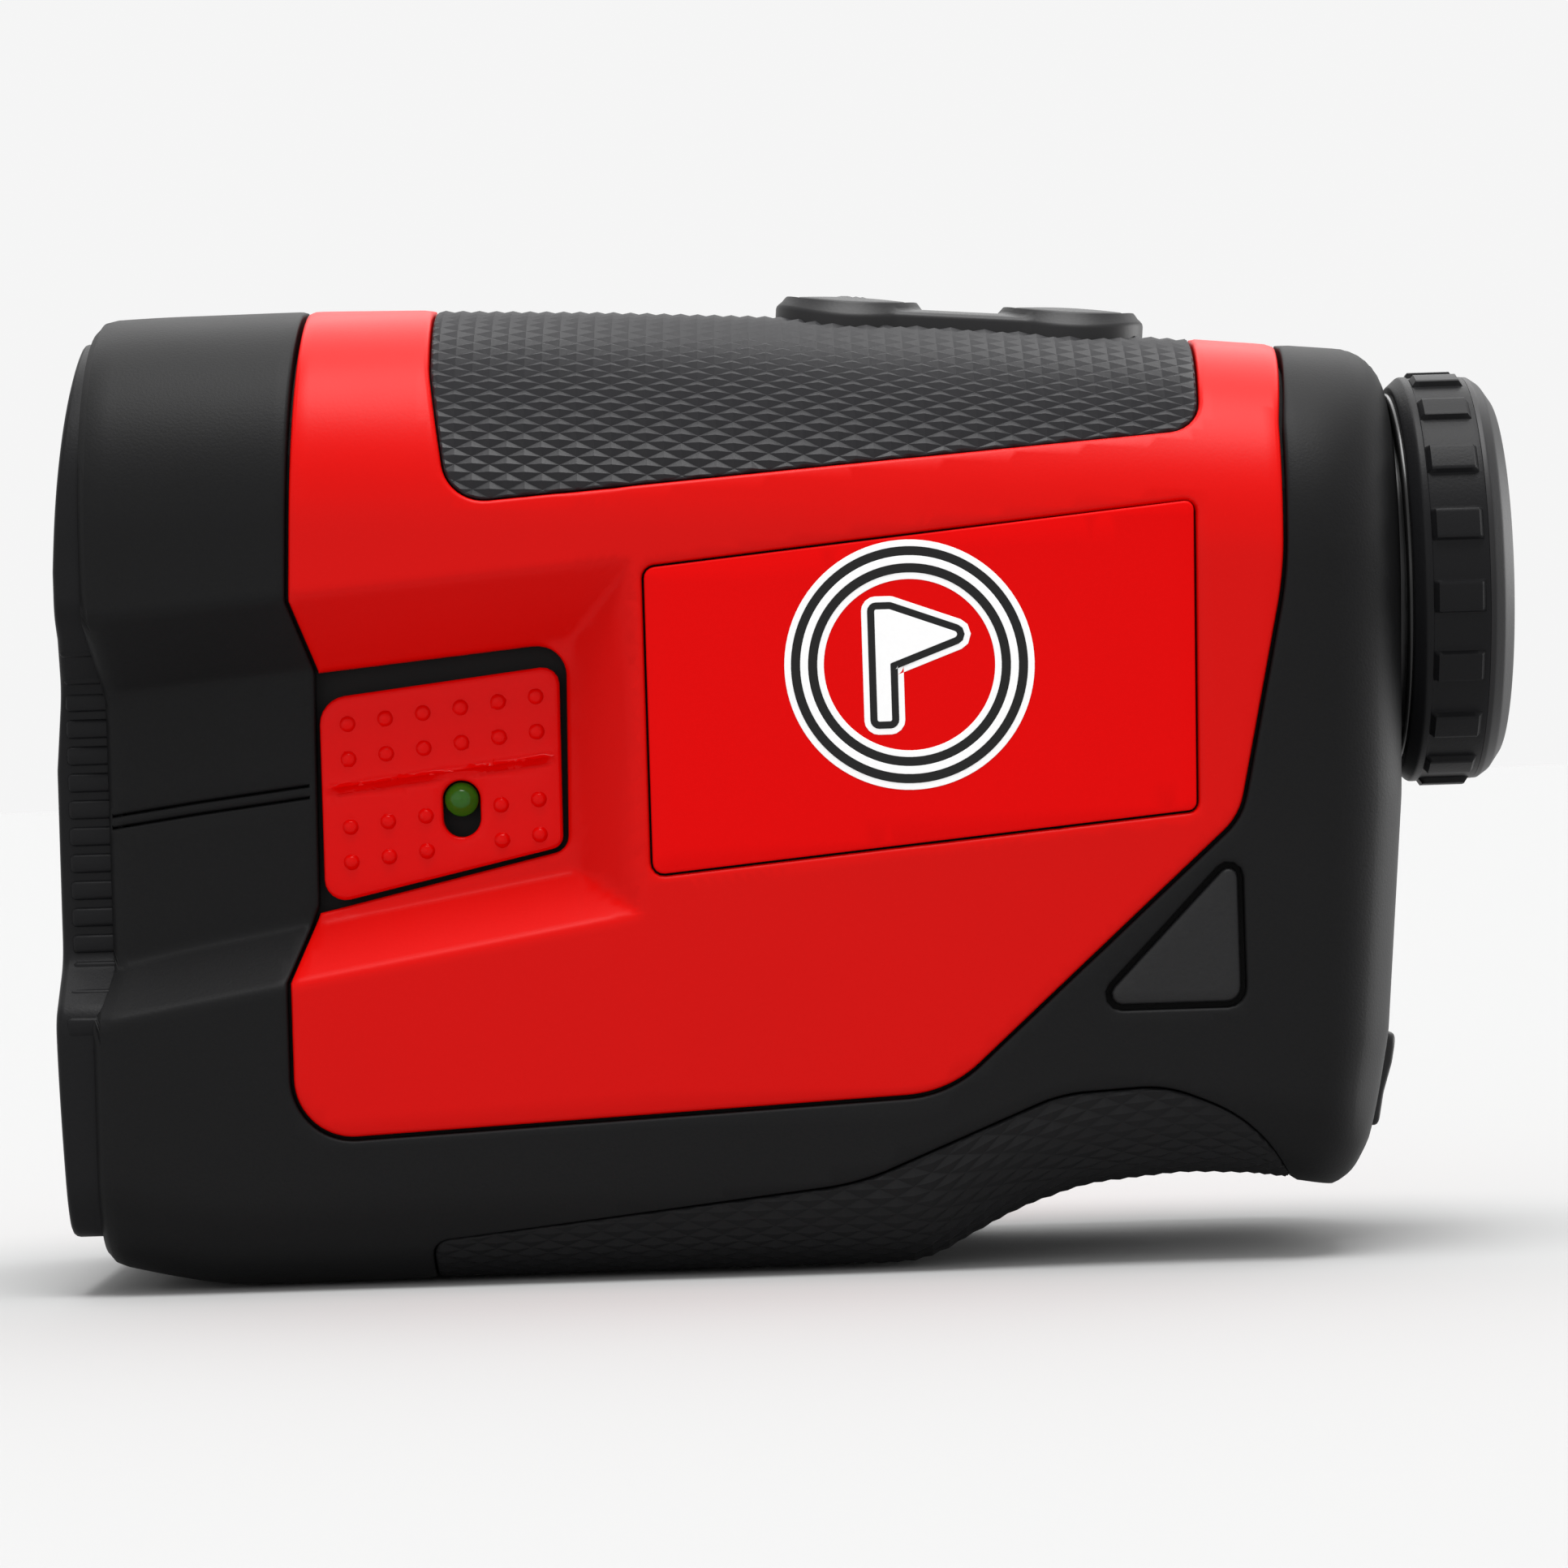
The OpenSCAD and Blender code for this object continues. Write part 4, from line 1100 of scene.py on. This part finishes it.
def add_flap():
    """The rubber flap over the charging port, with a lip to lift it by, its plug and its strap."""
    def surface(y, z, inset):
        out = 1.15 + 0.3 * np.clip((z + 1) / 2.5, 0, 1)
        return np.stack([out - inset * (out + 0.7) / FLAP_DEPTH, y, z], axis=1)

    loop = rounded(FLAP, 0.4)
    plate = sheet(surface, loop, [], [closed(loop)], plane_points(loop, 0.7), FLAP_DEPTH, 0.35)
    plug = soft_box((-1.35, 0, 0), (1.5, 8.4, 2.6), 0.3)
    verts, faces = join(plate, plug)
    mesh_piece("port_flap_cover", rear_frame(verts), faces, "port_flap", KEY_RUBBER, ["usb_flap"], "grip")
    verts, faces = soft_box((-0.25, 0, -4.6), (1.1, 8, 1.35), 0.25)
    mesh_piece("port_flap_strap", rear_frame(verts), faces, "housing", KEY_RUBBER, ["flap_strap"], "grip")


def dress_cad_nodes():
    """Gives every CAD node the material of its slot in the record."""
    slots = {part["node"]: part["material_slot"] for part in frame["record"]["subparts"]}
    for name, node in frame["nodes"].items():
        node.data.materials.clear()
        node.data.materials.append(SLOT_MATERIALS[slots[name]])


# ---- Stage, light and camera, in metres ----

BACKDROP = 0.915
# Each sun's place as seen from the object, its angle across in degrees, and its power.
SUNS = {"overhead": ((0.05, -0.15, 1), 34, 3.6), "behind": ((0.1, 0.6, 0.8), 60, 1.5),
        "rear": ((1, 0.45, 0.05), 40, 2.2), "fill": ((-0.7, -1, 0.1), 70, 0.35),
        "under": ((-0.1, -1, -0.5), 80, 0.4)}
LENS = 119.4
CAMERA_AT = (-0.0008, -0.415, 0.03725)
CAMERA_ROLL = math.radians(-1.8)
FLOOR_SIZE = 80
FLOOR_Z = -0.0002


def add_floor():
    """A pale floor that runs on into the pale surroundings: its colour makes up for the light of the suns."""
    bpy.ops.mesh.primitive_plane_add(size=FLOOR_SIZE, location=(0, 0, FLOOR_Z))
    floor = bpy.context.object
    floor.name = "floor"
    floor.visible_shadow = False
    material, _, shader = nodes_of("pale_floor")
    heights = [Vector(place).normalized().z for place, _, _ in SUNS.values()]
    sunlight = sum(sun[2] * max(0, z) / math.pi for sun, z in zip(SUNS.values(), heights))
    shade = BACKDROP / (BACKDROP + sunlight)
    shader.inputs["Base Color"].default_value = (shade, shade, shade, 1)
    shader.inputs["Roughness"].default_value = 1
    shader.inputs["Specular IOR Level"].default_value = 0
    floor.data.materials.append(material)


def add_sun(name, place, angle, power):
    """A wide sun that shines from its place towards the origin."""
    sun = bpy.data.lights.new(name, "SUN")
    sun.angle = math.radians(angle)
    sun.energy = power
    holder = bpy.data.objects.new(name, sun)
    holder.rotation_mode = "QUATERNION"
    holder.rotation_quaternion = Vector(place).to_track_quat("Z", "Y")
    bpy.context.scene.collection.objects.link(holder)


def add_world():
    """Even, pale surroundings, shown in plain sRGB colours."""
    world = bpy.data.worlds.new("world")
    bpy.context.scene.world = world
    world.use_nodes = True
    background = world.node_tree.nodes["Background"]
    background.inputs["Color"].default_value = (BACKDROP, BACKDROP, BACKDROP, 1)
    background.inputs["Strength"].default_value = 1.0
    bpy.context.scene.view_settings.view_transform = "Standard"


def add_camera():
    """The camera looks along +Y at the object's left side, rolled a little as in the photograph."""
    data = bpy.data.cameras.new("camera")
    data.sensor_width = 36
    data.lens = LENS
    data.clip_start, data.clip_end = 0.01, 100
    camera = bpy.data.objects.new("camera", data)
    camera.matrix_world = (Matrix.Translation(CAMERA_AT) @ Matrix.Rotation(QUARTER, 4, "X")
                           @ Matrix.Rotation(CAMERA_ROLL, 4, "Z"))
    bpy.context.scene.collection.objects.link(camera)
    bpy.context.scene.camera = camera


# ---- The whole object and its scene ----

add_armour()
add_covers()
add_grip("top_grip", top_loop, True, 0.32, 0.3, GRIP)
add_grip("bottom_grip", base_loop, False, 0.26, 0.2, LOWER_GRIP)
add_inlays("trim", "inlay", TRIM, 0.1, 0.12, 1, 0.35, TRIM_BLACK)
add_inlays("badge", "plate", BADGE, 0.05, 0.02, 2, 0.22, BADGE_RED)
add_emblem()
add_slider()
add_indicator()
add_bezel()
add_front_optic("objective", OPTIC_Z, ring_r=14.4, opening_r=11.2, lens_r=11.9, bulge=1.0)
add_front_optic("emitter", EMITTER_Z, ring_r=9.4, opening_r=6.5, lens_r=6.8, bulge=0.6)
add_eyepiece()
add_button_pad()
for name, side in KEY_SIDES.items():
    add_key(name, side)
add_flap()
dress_cad_nodes()
add_floor()
for name, (place, angle, power) in SUNS.items():
    add_sun(name, place, angle, power)
add_camera()
add_world()
